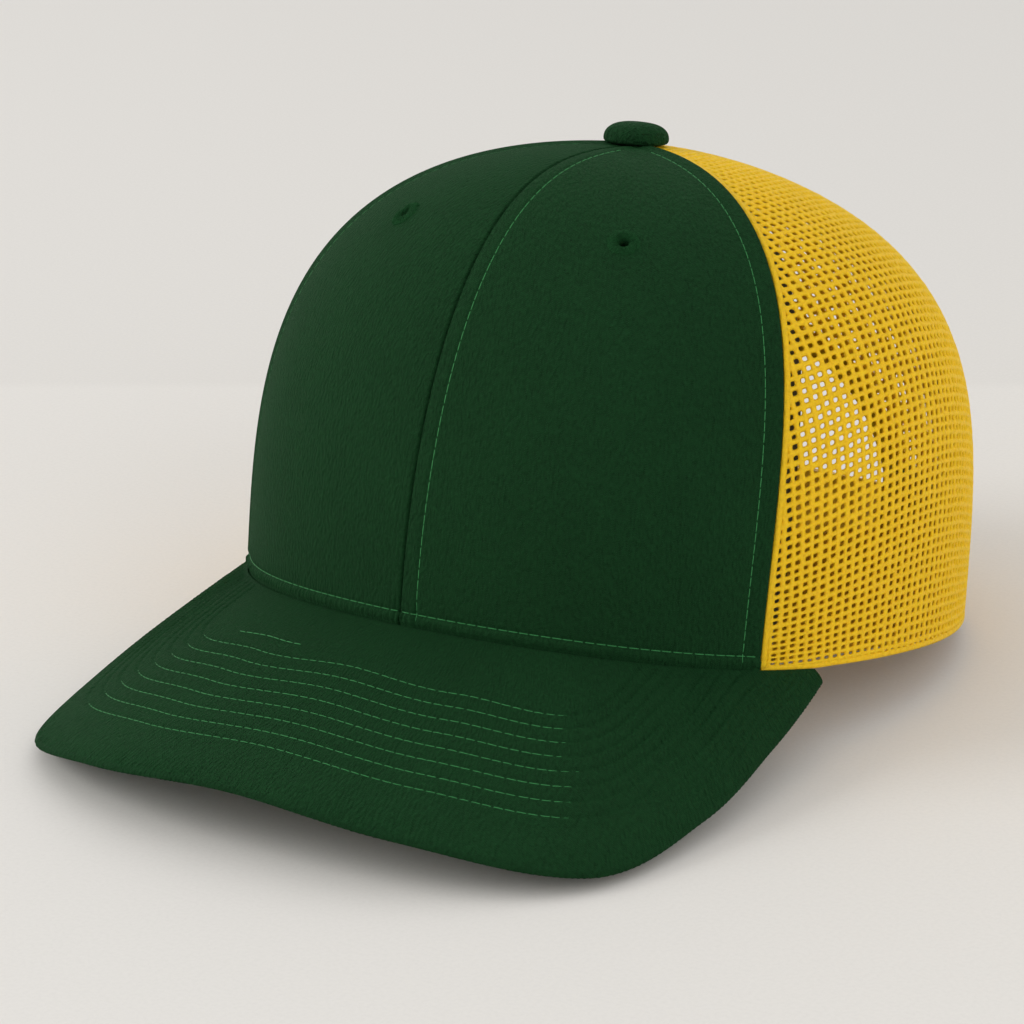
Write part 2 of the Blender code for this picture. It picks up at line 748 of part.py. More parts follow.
def main():
    clear_scene()
    frame = bpy.data.objects.new("cap_frame", None)
    bpy.context.scene.collection.objects.link(frame)
    frame.rotation_euler = (-REST_TILT, 0.0, 0.0)
    materials = {
        "green_cloth": make_material("green_cloth", GREEN, 0.85),
        "green_thread": make_material("green_thread", GREEN, 0.7),
        "netting": make_material("netting", YELLOW, 0.55),
        "buckram": make_material("buckram", WHITE_CLOTH, 0.9),
        "tape": make_material("tape", TAPE_GREY, 0.85),
        "visor_board": make_material("visor_board", BOARD_WHITE, 0.6),
        "sweatband": make_material("sweatband", BAND_GOLD, 0.8),
        "foam": make_material("foam", FOAM_GREY, 0.95),
        "snap_plastic": make_material("snap_plastic", YELLOW_PLASTIC, 0.4),
        "button_core": make_material("button_core", STEEL, 0.35, 1.0),
    }
    build_panels(materials)
    build_tapes(materials["tape"])
    build_visor(materials)
    build_sweatband(materials)
    build_binding(materials["tape"])
    build_closure(materials["snap_plastic"])
    build_button(materials)
    settle(frame)


main()
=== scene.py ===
"""Looks of a mesh-back cap: sewn cloth front, knitted netting, stitched visor, snap closure.

Lengths are in metres. Surfaces are worked out in the cap's own frame, where the lower edge lies
near z = 0, the visor points to -Y and the wearer's left is +X. to_world() then tilts them to
where the frame's hinges say that the cap stands.
"""

import json
import math

import bpy
import numpy as np
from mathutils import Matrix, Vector


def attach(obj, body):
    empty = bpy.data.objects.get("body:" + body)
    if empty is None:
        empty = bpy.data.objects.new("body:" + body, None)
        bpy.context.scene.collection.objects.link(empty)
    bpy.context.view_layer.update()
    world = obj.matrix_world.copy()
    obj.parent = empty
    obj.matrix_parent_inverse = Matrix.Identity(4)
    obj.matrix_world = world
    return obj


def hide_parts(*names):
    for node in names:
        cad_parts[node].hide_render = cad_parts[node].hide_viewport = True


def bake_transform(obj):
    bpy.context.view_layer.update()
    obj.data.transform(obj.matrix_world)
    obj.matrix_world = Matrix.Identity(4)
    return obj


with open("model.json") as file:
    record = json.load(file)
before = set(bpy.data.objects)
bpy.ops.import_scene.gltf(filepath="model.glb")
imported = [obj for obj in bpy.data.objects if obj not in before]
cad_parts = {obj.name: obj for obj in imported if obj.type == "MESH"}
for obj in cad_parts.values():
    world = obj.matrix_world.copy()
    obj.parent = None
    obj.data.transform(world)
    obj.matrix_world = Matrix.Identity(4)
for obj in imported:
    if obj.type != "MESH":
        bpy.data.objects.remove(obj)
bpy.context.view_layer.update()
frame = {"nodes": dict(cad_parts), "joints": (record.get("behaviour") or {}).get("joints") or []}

# The crown and the visor, as the CAD model has them
HALF_WIDTH = 0.096
HALF_LENGTH = 0.0968
REAR_LENGTH = 0.0905
CROWN_HEIGHT = 0.1171
REACH_POWER = (0.888, 0.122, 0.118)
RISE_POWER = (0.705, -0.018, -0.24)
REAR_EDGE_WAVE = 0.001
BASE_FADE = math.radians(60.0)
SKIRT_REST = 0.0003
SKIRT_DROP = 0.004
SKIRT_FADE = math.radians(14.0)
REST_TILT = math.radians(9.97)
FRONT = -90.0
BACK = 90.0
FRONT_SEAM = -34.9
FRONT_SEAM_TWIST = 11.3
BACK_SEAM = 38.0
VISOR_RISE = 0.377
VISOR_BEND = 0.0244
VISOR_BEND_4 = 0.0049
VISOR_DIP = 0.0024
VISOR_DIP_LENGTH = 0.06
VISOR_OFFSET = 0.004
VISOR_END_ANGLE = -22.0
VISOR_REACH = (
    (0.0, 0.1267), (20.0, 0.1302), (40.0, 0.1295), (55.0, 0.1132), (70.0, 0.0988), (90.0, 0.089),
)
VISOR_GAP = 0.00035
VISOR_COVER = 0.0007
VISOR_THICKNESS = 0.0036
VISOR_EDGE_THICKNESS = 0.0022
VISOR_TAPER = 0.014
VISOR_EDGE_PULL = 0.0009
VISOR_EDGE_DROOP = 0.0008
VISOR_DROOP_WIDTH = 0.007
VISOR_BOARD_INSET = 0.001
VISOR_BOARD_EDGE = 0.0045
VISOR_BOARD_GAP = 0.0003
VISOR_SPAN = 86.0
PANEL_THICKNESS = 0.0009
BUCKRAM = (0.00135, 0.00195)
TAPE = (0.0024, 0.003)
FOAM = (0.00345, 0.00465)
BAND = (0.0051, 0.0061)
STRAP_TAB = (0.0014, 0.003)
TAPE_WIDTH = 0.012
TAPE_END_RADIUS = 0.0165
ARCH_HALF_WIDTH = 0.043
ARCH_HEIGHT = 0.058
ARCH_POWER = 2.4
BINDING_LEG = 0.0055
BINDING_THICKNESS = 0.0007
BINDING_GAP = 0.0003
BINDING_FOOT_GAP = 0.0012
STRAP_BOTTOM = 0.003
STRAP_TOP = 0.0225
STRAP_THICKNESS = 0.0016
STRAP_GAP = 0.0005
STRAP_ROOT_X = 0.04
STRAP_TURN = math.radians(26.0)
STRAP_SET_OUT = 0.0042
STRAP_END = 0.026
TAB_END_X = 0.064
SNAP_PITCH = 0.0085
SNAP_COUNT = 7
PEG_RADIUS = 0.0019
PEG_PROUD = 0.0012
HOLE_RADIUS = 0.0026
BUTTON_RADIUS = 0.0085
BUTTON_HEIGHT = 0.0056
BUTTON_LIFT = 0.0003
EYELET_ANGLE = 30.5
EYELET_RISE = 0.605
EYELET_RADIUS = 0.0046
EYELET_HOLE = 0.0014

# Sewing
STITCH_PITCH = 0.0027
STITCH_LENGTH = 0.00252
THREAD_RADIUS = 0.000125
TOPSTITCH = 0.0048
BASE_STITCH = 0.0031
VISOR_ROWS = 8
VISOR_FIRST_ROW = 0.0152
VISOR_ROW_PITCH = 0.0046
VISOR_SIDE_SHARE = 0.87

# Netting: one cell holds one hole
CELL = (0.0025, 0.00235)
HOLE_SHARE = (0.24, 0.232)
HOLE_DIAGONAL = 0.79
STRAND_RISE = 0.00042
STRAND_WOBBLE = 0.045
HOLE_LEAN = 0.05
YARN_UNEVEN = 0.06
RIM_UNEVEN = 0.07
# The corners and sides of a cell, anticlockwise from its right-hand side
RING = ((1, 0), (1, 1), (0, 1), (-1, 1), (-1, 0), (-1, -1), (0, -1), (1, -1))

# Relief of the cloth, each as (height, width)
CENTRE_GROOVE = (0.0007, 0.0003)
CENTRE_HOLLOW = (0.00008, 0.002)
EDGE_GROOVE = (0.0009, 0.00025)
ROW_SINK = (0.0002, 0.00045)
ROW_PUCKER = (0.00005, 0.0014)
EDGE_PUCKER = (0.00006, 0.0014)
BASE_SINK = (0.0003, 0.0005)
BASE_PUCKER = (0.00005, 0.003)
CRIMP = (0.0003, 0.00035)
VISOR_ROW_SINK = (0.0003, 0.0005)
VISOR_ROW_LIP = (0.00006, 0.0008)
VISOR_ROW_PUCKER = (0.00004, 0.0013)
TAPE_ROW_SINK = (0.00015, 0.0004)
BINDING_ROW_SINK = (0.00018, 0.0005)

# Relief of the cloth, heights only
CLOTH_PUFF = 0.00012
TOPSTITCH_PUFF = 0.00012
EDGE_LIFT = 0.00065
BASE_ROLL = 0.00042
BASE_ROLL_FINE = 0.0001
VISOR_PUFF = 0.0001
VISOR_PLEAT = 0.00018
VISOR_CREASE = 0.00016
TAPE_PUFF = 0.00012
BAND_PUFF = 0.0011
BAND_SEAM = 0.0005
BAND_FOLD = 0.00012
FOAM_PUFF = 0.0002

# Small parts
PANEL_HOLE_RADIUS = 0.0026
EYELET_THREADS = 44
EYELET_THREAD_STEPS = 4
EYELET_DEPTH = 0.0036
HEM_HALF_HEIGHT = 0.00052
TAPE_START = 0.012
TAPE_ROW = 0.0047
BAND_SPAN = (0.0008, 0.032)
BAND_ARCH_GAP = 0.003
FOAM_SPAN = (0.004, 0.029)
FOAM_ANGLES = (212.0, 328.0)
VISOR_CENTRE = HALF_LENGTH * math.sin(math.radians(VISOR_END_ANGLE))
VISOR_ARC = 0.125
VISOR_ROW_END = 80.0
STRAP_CORNER = 0.00045
STRAP_TIP_RADIUS = 0.0065
STRAP_SEWN_SHRINK = 0.0012
BUTTON_SKIRT = 0.0012
BUTTON_FULLNESS = (0.68, 0.86)

# Colours
GREEN = (0.0068, 0.0415, 0.0122)
THREAD_GREEN = (0.04, 0.225, 0.07)
YELLOW = (1.0, 0.57, 0.010)
YELLOW_PLASTIC = (0.90, 0.53, 0.012)
BUCKRAM_WHITE = (0.62, 0.6, 0.54)
TAPE_COLOUR = (0.2, 0.17, 0.1)
FOAM_GREY = (0.35, 0.35, 0.34)
BOARD_WHITE = (0.75, 0.75, 0.72)
BAND_GOLD = (0.72, 0.40, 0.02)
METAL_DARK = (0.48, 0.48, 0.47)
METAL_LIGHT = (0.66, 0.65, 0.63)
FLOOR_COLOUR = (0.775, 0.76, 0.735)

# Painted shade: beyond a line across the floor, behind the cap, the floor's colour is painted softly darker,
# standing in for where a backdrop meets the floor
HORIZON_SHADE_LINE = 0.25
HORIZON_SHADE_TURN = math.radians(26.3)
HORIZON_SHADE_SOFT = 0.004
HORIZON_SHADE_TONE = 0.25
FLOOR_SIZE = 12.0

# Studio: each light is (name, place, aim, width, watts, colour)
LIGHTS = (
    ("key", (-2.4, -1.3, 1.5), (0.0, 0.0, 0.05), 1.6, 35.0, (1.0, 0.985, 0.96)),
    ("fill", (2.2, -0.8, 1.1), (0.0, 0.0, 0.06), 1.9, 13.0, (1.0, 0.97, 0.93)),
)
SKY_COLOUR = (1.0, 0.99, 0.975, 1.0)
SKY_STRENGTH = 0.75
CAMERA_PLACE = (0.4725, -0.6838, 0.3402)
CAMERA_TURN = (70.450, 2.450, 34.043)
CAMERA_LENS = 120.75
CAMERA_SENSOR = 36.0


def smooth_step(value):
    value = np.clip(value, 0.0, 1.0)
    return value * value * (3.0 - 2.0 * value)


def bell(value, width):
    return np.exp(-((value / width) ** 2))


def mark(value, size):
    """A soft ridge at value 0; size is (height, width)."""
    return size[0] * bell(value, size[1])


def band(value, start, end, soft):
    """1 between start and end, fading over soft on either side."""
    return smooth_step((value - start) / soft) * smooth_step((end - value) / soft)


def unit(vectors):
    length = np.linalg.norm(vectors, axis=-1, keepdims=True)
    return vectors / np.maximum(length, 1e-12)


def full_turn(count):
    return 2 * math.pi * np.arange(count) / count


def run_along(path):
    """Distance along a path at each of its points."""
    return np.concatenate(([0.0], np.cumsum(np.linalg.norm(np.diff(path, axis=0), axis=1))))


def grid_normal(surface):
    return unit(np.cross(np.gradient(surface, axis=1), np.gradient(surface, axis=0)))


def stacked(*parts):
    """Arrays broadcast together and stacked as the last axis."""
    return np.stack(np.broadcast_arrays(*parts), -1)


def visor_height(x, y):
    forward = y + HALF_LENGTH
    across = x / HALF_WIDTH
    bend = VISOR_BEND * across**2 + VISOR_BEND_4 * across**4
    dip = VISOR_DIP * (forward / VISOR_DIP_LENGTH) ** 2
    return VISOR_OFFSET + VISOR_RISE * forward - bend - dip


def base_point(angle):
    length = np.where(np.sin(angle) < 0, HALF_LENGTH, REAR_LENGTH)
    return HALF_WIDTH * np.cos(angle), length * np.sin(angle)


def angle_from_front(angle):
    return np.abs((angle + 1.5 * math.pi) % (2 * math.pi) - math.pi)


def base_height(angle):
    from_front = angle_from_front(angle)
    attached = math.pi / 2 + math.radians(VISOR_END_ANGLE)
    x, y = base_point(np.minimum(from_front, attached) - math.pi / 2)
    fade = smooth_step((from_front - attached) / BASE_FADE)
    return visor_height(x, y) * (1.0 - fade) - REAR_EDGE_WAVE * np.cos(2 * angle) * fade


def powers(angle):
    sine = np.sin(angle)
    double = np.cos(2 * angle)
    reach = REACH_POWER[0] + REACH_POWER[1] * sine + REACH_POWER[2] * double
    rise = RISE_POWER[0] + RISE_POWER[1] * sine + RISE_POWER[2] * double
    return reach, rise


def crown_point(angle, level):
    reach_power, rise_power = powers(angle)
    turn = np.clip(level, 0.0, 1.0) * math.pi / 2
    reach = np.cos(turn) ** reach_power
    rise = np.sin(turn) ** rise_power
    x, y = base_point(angle)
    height = CROWN_HEIGHT * rise + base_height(angle) * (1.0 - rise)
    return stacked(reach * x, reach * y, height)


def crown_normal(angle, level):
    step = 0.004
    level = np.maximum(level, 2 * step)
    along = crown_point(angle + step, level) - crown_point(angle - step, level)
    up = crown_point(angle, level + step) - crown_point(angle, level - step)
    return unit(np.cross(along, up))


def crown_layer(angle, level, depth):
    return crown_point(angle, level) - crown_normal(angle, level) * depth


def level_at_height(angle, height):
    low = base_height(angle)
    share = np.clip((height - low) / (CROWN_HEIGHT - low), 0.0, 1.0)
    return np.arcsin(share ** (1.0 / powers(angle)[1])) / (math.pi / 2)


def top_level(angle, radius=0.0025):
    """Level at which a panel comes within radius of the middle of the crown."""
    share = (radius / HALF_WIDTH) ** (1.0 / powers(angle)[0])
    return np.arccos(share) / (math.pi / 2)


def seam_angle(seam, level):
    twist = FRONT_SEAM_TWIST if seam == FRONT_SEAM else 0.0
    return np.radians(seam + twist * level)


def strap_root():
    return tab_point(STRAP_ROOT_X, sum(STRAP_TAB) / 2, 0.0)


def tab_point(x, depth, height):
    angle = math.acos(x / HALF_WIDTH)
    point = crown_layer(angle, level_at_height(angle, STRAP_TOP), depth)
    point[2] = height
    return point


def tilt(points):
    sine = math.sin(REST_TILT)
    cosine = math.cos(REST_TILT)
    x, y, z = np.moveaxis(np.asarray(points, float), -1, 0)
    return np.stack((x, y * cosine + z * sine, z * cosine - y * sine), -1)


def hinge_place(name):
    return np.array(next(joint["pos_m"] for joint in frame["joints"] if joint["name"] == name))


def root_middle():
    root = strap_root()
    root[2] = (STRAP_BOTTOM + STRAP_TOP) / 2
    return root


SHIFT = hinge_place("peg_strap_flex") - tilt(root_middle())


def to_world(points):
    return tilt(points) + SHIFT


def flip_x(points, side):
    return points * np.array((side, 1.0, 1.0))


# ---- meshes

def signed_volume(points, faces):
    total = 0.0
    for group in faces:
        first = points[group[:, 0]]
        for k in range(1, group.shape[1] - 1):
            second = points[group[:, k]]
            third = points[group[:, k + 1]]
            total += np.einsum("ij,ij->i", first, np.cross(second, third)).sum()
    return total


def add_piece(name, points, faces, material, weave=None):
    """Closed mesh in the cap's frame; faces is a list of index arrays, one for each face size."""
    points = to_world(np.asarray(points, float).reshape(-1, 3))
    faces = [np.asarray(group, int) for group in faces if len(group)]
    if signed_volume(points - points.mean(0), faces) < 0:
        faces = [group[:, ::-1] for group in faces]
    mesh = bpy.data.meshes.new(name)
    listed = [tuple(face) for group in faces for face in group.tolist()]
    mesh.from_pydata(points.tolist(), [], listed)
    if weave is not None:
        attribute = mesh.attributes.new("weave", "FLOAT_VECTOR", "POINT")
        attribute.data.foreach_set("vector", np.asarray(weave, np.float32).ravel())
    mesh.shade_smooth()
    mesh.materials.append(material)
    piece = bpy.data.objects.new(name, mesh)
    bpy.context.scene.collection.objects.link(piece)
    return piece


def boundary_edges(quads):
    """Directed edges that only one face uses."""
    edges = np.concatenate([quads[:, [k, (k + 1) % 4]] for k in range(4)])
    ordered = np.sort(edges, axis=1)
    _, where, count = np.unique(ordered, axis=0, return_inverse=True, return_counts=True)
    return edges[count[where.ravel()] == 1]


def closed_sheet(outer, inner, keep=None):
    """Two grids of points, one for each face of a sheet, closed all round and round any hole."""
    rows, columns = outer.shape[:2]
    index = np.arange(rows * columns).reshape(rows, columns)
    quads = np.stack((index[:-1, :-1], index[:-1, 1:], index[1:, 1:], index[1:, :-1]), -1)
    quads = quads.reshape(-1, 4)
    if keep is not None:
        quads = quads[keep.ravel()]
    count = rows * columns
    edges = boundary_edges(quads)
    start, end = edges[:, 0], edges[:, 1]
    walls = np.stack((end, start, start + count, end + count), -1)
    faces = np.concatenate((quads, quads[:, ::-1] + count, walls))
    points = np.concatenate((outer.reshape(-1, 3), inner.reshape(-1, 3)))
    used, compact = np.unique(faces, return_inverse=True)
    return points[used], [compact.reshape(-1, 4)], used


def ring_loft(sections, loop=False):
    """Closed body through rings of points, shaped (ring, point, 3): with flat ends, or as a loop."""
    rings, count = sections.shape[:2]
    index = np.arange(rings * count).reshape(rings, count)
    following = np.roll(index, -1, axis=1)
    if loop:
        quads = np.stack((index, following, np.roll(following, -1, axis=0), np.roll(index, -1, axis=0)), -1)
        return sections.reshape(-1, 3), [quads.reshape(-1, 4)]
    quads = np.stack((index[:-1], following[:-1], following[1:], index[1:]), -1).reshape(-1, 4)
    ends = np.stack((index[0][::-1], index[-1]))
    return sections.reshape(-1, 3), [quads, ends]


def strand(path, normals, half_width, half_height, sides=10):
    """Flattened tube along a path, lying on the surface that the normals belong to."""
    along = unit(np.gradient(path, axis=0))
    across = unit(np.cross(normals, along))
    upward = np.cross(along, across)
    turn = full_turn(sides)
    ring = (
        across[:, None] * (half_width * np.cos(turn))[None, :, None]
        + upward[:, None] * (half_height * np.sin(turn))[None, :, None]
    )
    return ring_loft(path[:, None] + ring)


def merge(parts):
    points = []
    faces = {}
    count = 0
    for part_points, part_faces in parts:
        points.append(part_points)
        for group in part_faces:
            faces.setdefault(group.shape[1], []).append(group + count)
        count += len(part_points)
    return np.concatenate(points), [np.concatenate(groups) for groups in faces.values()]


def resample(path, normals, distances):
    run = run_along(path)
    place = np.stack([np.interp(distances, run, path[:, k]) for k in range(3)], -1)
    normal = np.stack([np.interp(distances, run, normals[:, k]) for k in range(3)], -1)
    return place, unit(normal)


def stitches(path, normals):
    """A row of separate stitches along a path, each a short arched thread with sunk ends."""
    count = int(run_along(path)[-1] / STITCH_PITCH)
    spread = np.array((0.0, 0.12, 0.5, 0.88, 1.0))
    thickness = np.array((0.45, 0.95, 1.0, 0.95, 0.45))
    rise = np.array((-0.7, 0.3, 0.55, 0.3, -0.7))
    shuffle = np.random.default_rng(count).normal(0.0, 0.03, (count, 3))
    turn = full_turn(6)
    parts = []
    for k in range(count):
        start = (k + 0.1 + shuffle[k, 0]) * STITCH_PITCH
        reach = spread * STITCH_LENGTH * (1 + shuffle[k, 1])
        place, normal = resample(path, normals, start + reach)
        along = unit(np.gradient(place, axis=0))
        across = unit(np.cross(normal, along))
        size = (THREAD_RADIUS * thickness)[:, None, None]
        ring = across[:, None] * np.cos(turn)[:, None] + normal[:, None] * np.sin(turn)[:, None]
        sway = across * (THREAD_RADIUS * 2.0 * shuffle[k, 2] * (spread - 0.5))[:, None]
        centre = place + normal * (THREAD_RADIUS * rise)[:, None] + sway
        parts.append(ring_loft(centre[:, None] + ring * size))
    return parts


# ---- a patch of the crown between two seams

class Patch:
    """Grid on the crown between two seams; d0 and d1 are distances to its seams, and up is the
    distance above its foot, along the surface."""

    def __init__(self, first, last, shares, heights, gap=0.0002, top=0.0025):
        self.first = first
        self.last = last
        self.gap = gap
        fine = np.linspace(0.0, 1.0, 500) ** 2.6
        self.levels = np.empty((len(heights), len(shares)))
        self.up = np.empty_like(self.levels)
        for column, share in enumerate(shares):
            ladder = top_level(self.angle(share, 1.0), top) * fine
            run = run_along(crown_point(self.angle(share, ladder), ladder))
            self.levels[:, column] = np.interp(heights * run[-1], run, ladder)
            self.up[:, column] = heights * run[-1]
        self.angles = self.angle(shares[None, :], self.levels)
        self.surface = crown_point(self.angles, self.levels)
        self.normal = grid_normal(self.surface)
        steps = np.linalg.norm(np.diff(self.surface, axis=1), axis=2)
        self.d0 = np.concatenate((np.zeros((len(heights), 1)), np.cumsum(steps, axis=1)), axis=1)
        self.d1 = self.d0[:, -1:] - self.d0

    def angle(self, share, level):
        radius = HALF_WIDTH * np.cos(np.clip(level, 0, 0.995) * math.pi / 2) ** REACH_POWER[0]
        margin = self.gap / radius
        low = seam_angle(self.first, level) + margin
        high = seam_angle(self.last, level) - margin
        return low + (high - low) * share

    def place(self, relief):
        return self.surface + self.normal * np.asarray(relief)[..., None]

    def weave(self):
        return stacked(self.d0 - self.d0[:, -1:] / 2, self.up, 0.0)

    def row_at(self, grid, height):
        """Line across the patch at a distance above its foot."""
        columns = range(grid.shape[1])
        line = [[np.interp(height, self.up[:, c], grid[:, c, k]) for k in range(3)] for c in columns]
        return np.array(line)

    def column_at(self, grid, distance, from_end):
        """Line up the patch at a distance from one of its seams."""
        measure = self.d1[:, ::-1] if from_end else self.d0
        values = grid[:, ::-1] if from_end else grid
        rows = range(grid.shape[0])
        line = [[np.interp(distance, measure[r], values[r, :, k]) for k in range(3)] for r in rows]
        return np.array(line)


def graded(count, ends=0.75):
    """Steps from 0 to 1, closer together at both ends."""
    even = np.linspace(0.0, 1.0, count)
    return even * (1 - ends) + ends * 0.5 * (1 - np.cos(math.pi * even))


def graded_start(count, power=1.7):
    even = np.linspace(0.0, 1.0, count)
    return 0.25 * even + 0.75 * even**power


def ripple(x, y, seed, scale):
    """Smooth irregular waves, about -1 to 1, made from a few sines."""
    source = np.random.default_rng(seed)
    total = np.zeros(np.broadcast(x, y).shape)
    for _ in range(5):
        direction = source.uniform(-1, 1, 2)
        phase = source.uniform(0, 2 * math.pi)
        length = scale * source.uniform(0.7, 1.6)
        total += np.sin(2 * math.pi * (direction[0] * x + direction[1] * y) / length + phase)
    return total / 3.0


# ---- materials

def new_material(name, inputs, from_weave=False):
    """Material, its node tree, its shader, and the coordinates that its patterns follow."""
    material = bpy.data.materials.new(name)
    material.use_nodes = True
    tree = material.node_tree
    shader = tree.nodes["Principled BSDF"]
    for key, value in inputs.items():
        shader.inputs[key].default_value = value
    if from_weave:
        where = node(tree, "Attribute", attribute_name="weave").outputs["Vector"]
    else:
        where = node(tree, "TexCoord").outputs["Object"]
    return material, tree, shader, where


def node(tree, kind, **settings):
    made = tree.nodes.new("ShaderNode" + kind)
    for key, value in settings.items():
        if key in made.inputs:
            made.inputs[key].default_value = value
        else:
            setattr(made, key, value)
    return made


def mapped(tree, source, scale=(1.0, 1.0, 1.0), turn=0.0):
    mapping = node(tree, "Mapping", Scale=scale, Rotation=(0.0, 0.0, turn))
    tree.links.new(source, mapping.inputs["Vector"])
    return mapping.outputs["Vector"]


def noise(tree, source, size, detail, rough):
    """Noise with marks about size metres across; size may be one number, or three for X, Y, Z."""
    sizes = size if isinstance(size, tuple) else (size,) * 3
    made = node(tree, "TexNoise", Scale=1.0, Detail=detail, Roughness=rough)
    tree.links.new(mapped(tree, source, [1.0 / each for each in sizes]), made.inputs["Vector"])
    return made.outputs["Fac"]


def bands(tree, vector, period, distortion):
    """Stripes across X, one to a period."""
    made = node(tree, "TexWave", Scale=math.pi / (5.0 * period), Distortion=distortion)
    made.inputs["Detail Scale"].default_value = 1.0
    tree.links.new(vector, made.inputs["Vector"])
    return made.outputs["Fac"]


def blend_values(tree, operation, *values):
    made = node(tree, "Math", operation=operation)
    for socket, value in zip(made.inputs, values):
        if isinstance(value, (int, float)):
            socket.default_value = value
        else:
            tree.links.new(value, socket)
    return made.outputs[0]


def bumps(tree, shader, layers):
    """Chain of bump nodes: (height socket, distance in metres, strength)."""
    previous = None
    for height, distance, strength in layers:
        made = node(tree, "Bump", Strength=strength, Distance=distance)
        tree.links.new(height, made.inputs["Height"])
        if previous:
            tree.links.new(previous, made.inputs["Normal"])
        previous = made.outputs["Normal"]
    tree.links.new(previous, shader.inputs["Normal"])


def colour_mix(tree, shader, factor, dark, light):
    ramp = node(tree, "ValToRGB")
    ramp.color_ramp.elements[0].position = 0.3
    ramp.color_ramp.elements[1].position = 0.7
    ramp.color_ramp.elements[0].color = (*dark, 1.0)
    ramp.color_ramp.elements[1].color = (*light, 1.0)
    tree.links.new(factor, ramp.inputs["Fac"])
    tree.links.new(ramp.outputs["Color"], shader.inputs["Base Color"])


def shade(colour, amount):
    return tuple(channel * amount for channel in colour)


def cloth_material(name, colour, spread=0.34, twill=0.0009, crepe=0.0008, sheen=0.12, from_weave=True):
    """Woven cloth: a fine twill, a crinkle that runs along the warp, and uneven dyeing, with painted shade
    that darkens the colour in the crinkle's hollows.
    """
    inputs = {
        "Roughness": 0.82,
        "Sheen Weight": sheen,
        "Sheen Roughness": 0.45,
        "Sheen Tint": (*[min(1.0, channel * 12) for channel in colour], 1.0),
        "Specular IOR Level": 0.08,
    }
    material, tree, shader, weave = new_material(name, inputs, from_weave)
    ribs = bands(tree, mapped(tree, weave, turn=0.9), twill, 1.2)
    crinkle = noise(tree, weave, (crepe, crepe / 0.42, crepe / 0.7), 2.0, 0.55)
    fibre = noise(tree, weave, 0.00035, 2.0, 0.7)
    cloudy = noise(tree, weave, (1 / 28, 1 / 22, 1 / 28), 5.0, 0.65)
    uneven = blend_values(tree, "MULTIPLY_ADD", cloudy, 0.25, blend_values(tree, "MULTIPLY", fibre, 0.4))
    # The crinkle that sinks the bump also darkens the colour there: painted shade, added to the uneven
    # dyeing
    dye_and_crinkle_shade = blend_values(tree, "MULTIPLY_ADD", crinkle, 0.35, uneven)
    colour_mix(tree, shader, dye_and_crinkle_shade, shade(colour, 1 - spread), shade(colour, 1 + spread))
    bumps(tree, shader, [(crinkle, 0.0020, 1.0), (ribs, 0.0002, 0.6), (fibre, 0.0003, 0.8)])
    return material


def thread_material(name, colour):
    inputs = {"Roughness": 0.5, "Specular IOR Level": 0.2}
    material, tree, shader, where = new_material(name, inputs)
    twist = noise(tree, where, 0.0002, 2.0, 0.6)
    colour_mix(tree, shader, twist, shade(colour, 0.8), shade(colour, 1.25))
    bumps(tree, shader, [(twist, 0.00005, 0.6)])
    return material


def netting_material(name, colour):
    """Knitted polyester: fuzzy yarn with a slight gloss that lets some light through, its colour painted
    darker in the hollows between lumps as shade.
    """
    inputs = {
        "Roughness": 0.5,
        "Specular IOR Level": 0.2,
        "Subsurface Weight": 0.4,
        "Subsurface Radius": (1.0, 0.75, 0.2),
        "Subsurface Scale": 0.002,
    }
    material, tree, shader, where = new_material(name, inputs)
    fuzz = noise(tree, where, 0.00028, 4.0, 0.7)
    lumps = noise(tree, where, 0.0009, 2.0, 0.5)
    # Painted shade: the colour is darker where the lumps sink the yarn's bump
    colour_mix(tree, shader, lumps, shade(colour, 0.88), shade(colour, 1.06))
    bumps(tree, shader, [(lumps, 0.0005, 0.8), (fuzz, 0.0003, 0.8)])
    return material


def plastic_material(name, colour, roughness):
    material, tree, shader, where = new_material(name, {"Roughness": roughness})
    grain = noise(tree, where, 0.0006, 4.0, 0.6)
    flow = noise(tree, where, 1 / 60, 3.0, 0.5)
    colour_mix(tree, shader, flow, shade(colour, 0.95), shade(colour, 1.04))
    bumps(tree, shader, [(grain, 0.00004, 0.35)])
    rough = node(tree, "MapRange")
    rough.inputs["To Min"].default_value = roughness - 0.08
    rough.inputs["To Max"].default_value = roughness + 0.12
    tree.links.new(grain, rough.inputs["Value"])
    tree.links.new(rough.outputs["Result"], shader.inputs["Roughness"])
    return material


def metal_material(name):
    material, tree, shader, where = new_material(name, {"Roughness": 0.32, "Metallic": 1.0})
    grain = noise(tree, where, 0.0008, 5.0, 0.6)
    colour_mix(tree, shader, grain, METAL_DARK, METAL_LIGHT)
    bumps(tree, shader, [(grain, 0.00003, 0.4)])
    return material


def foam_material(name, colour):
    material, tree, shader, where = new_material(name, {"Roughness": 0.95})
    pores = node(tree, "TexVoronoi", Scale=1 / 0.0008)
    tree.links.new(where, pores.inputs["Vector"])
    colour_mix(tree, shader, pores.outputs["Distance"], shade(colour, 0.7), shade(colour, 1.1))
    bumps(tree, shader, [(pores.outputs["Distance"], 0.0003, 0.8)])
    return material


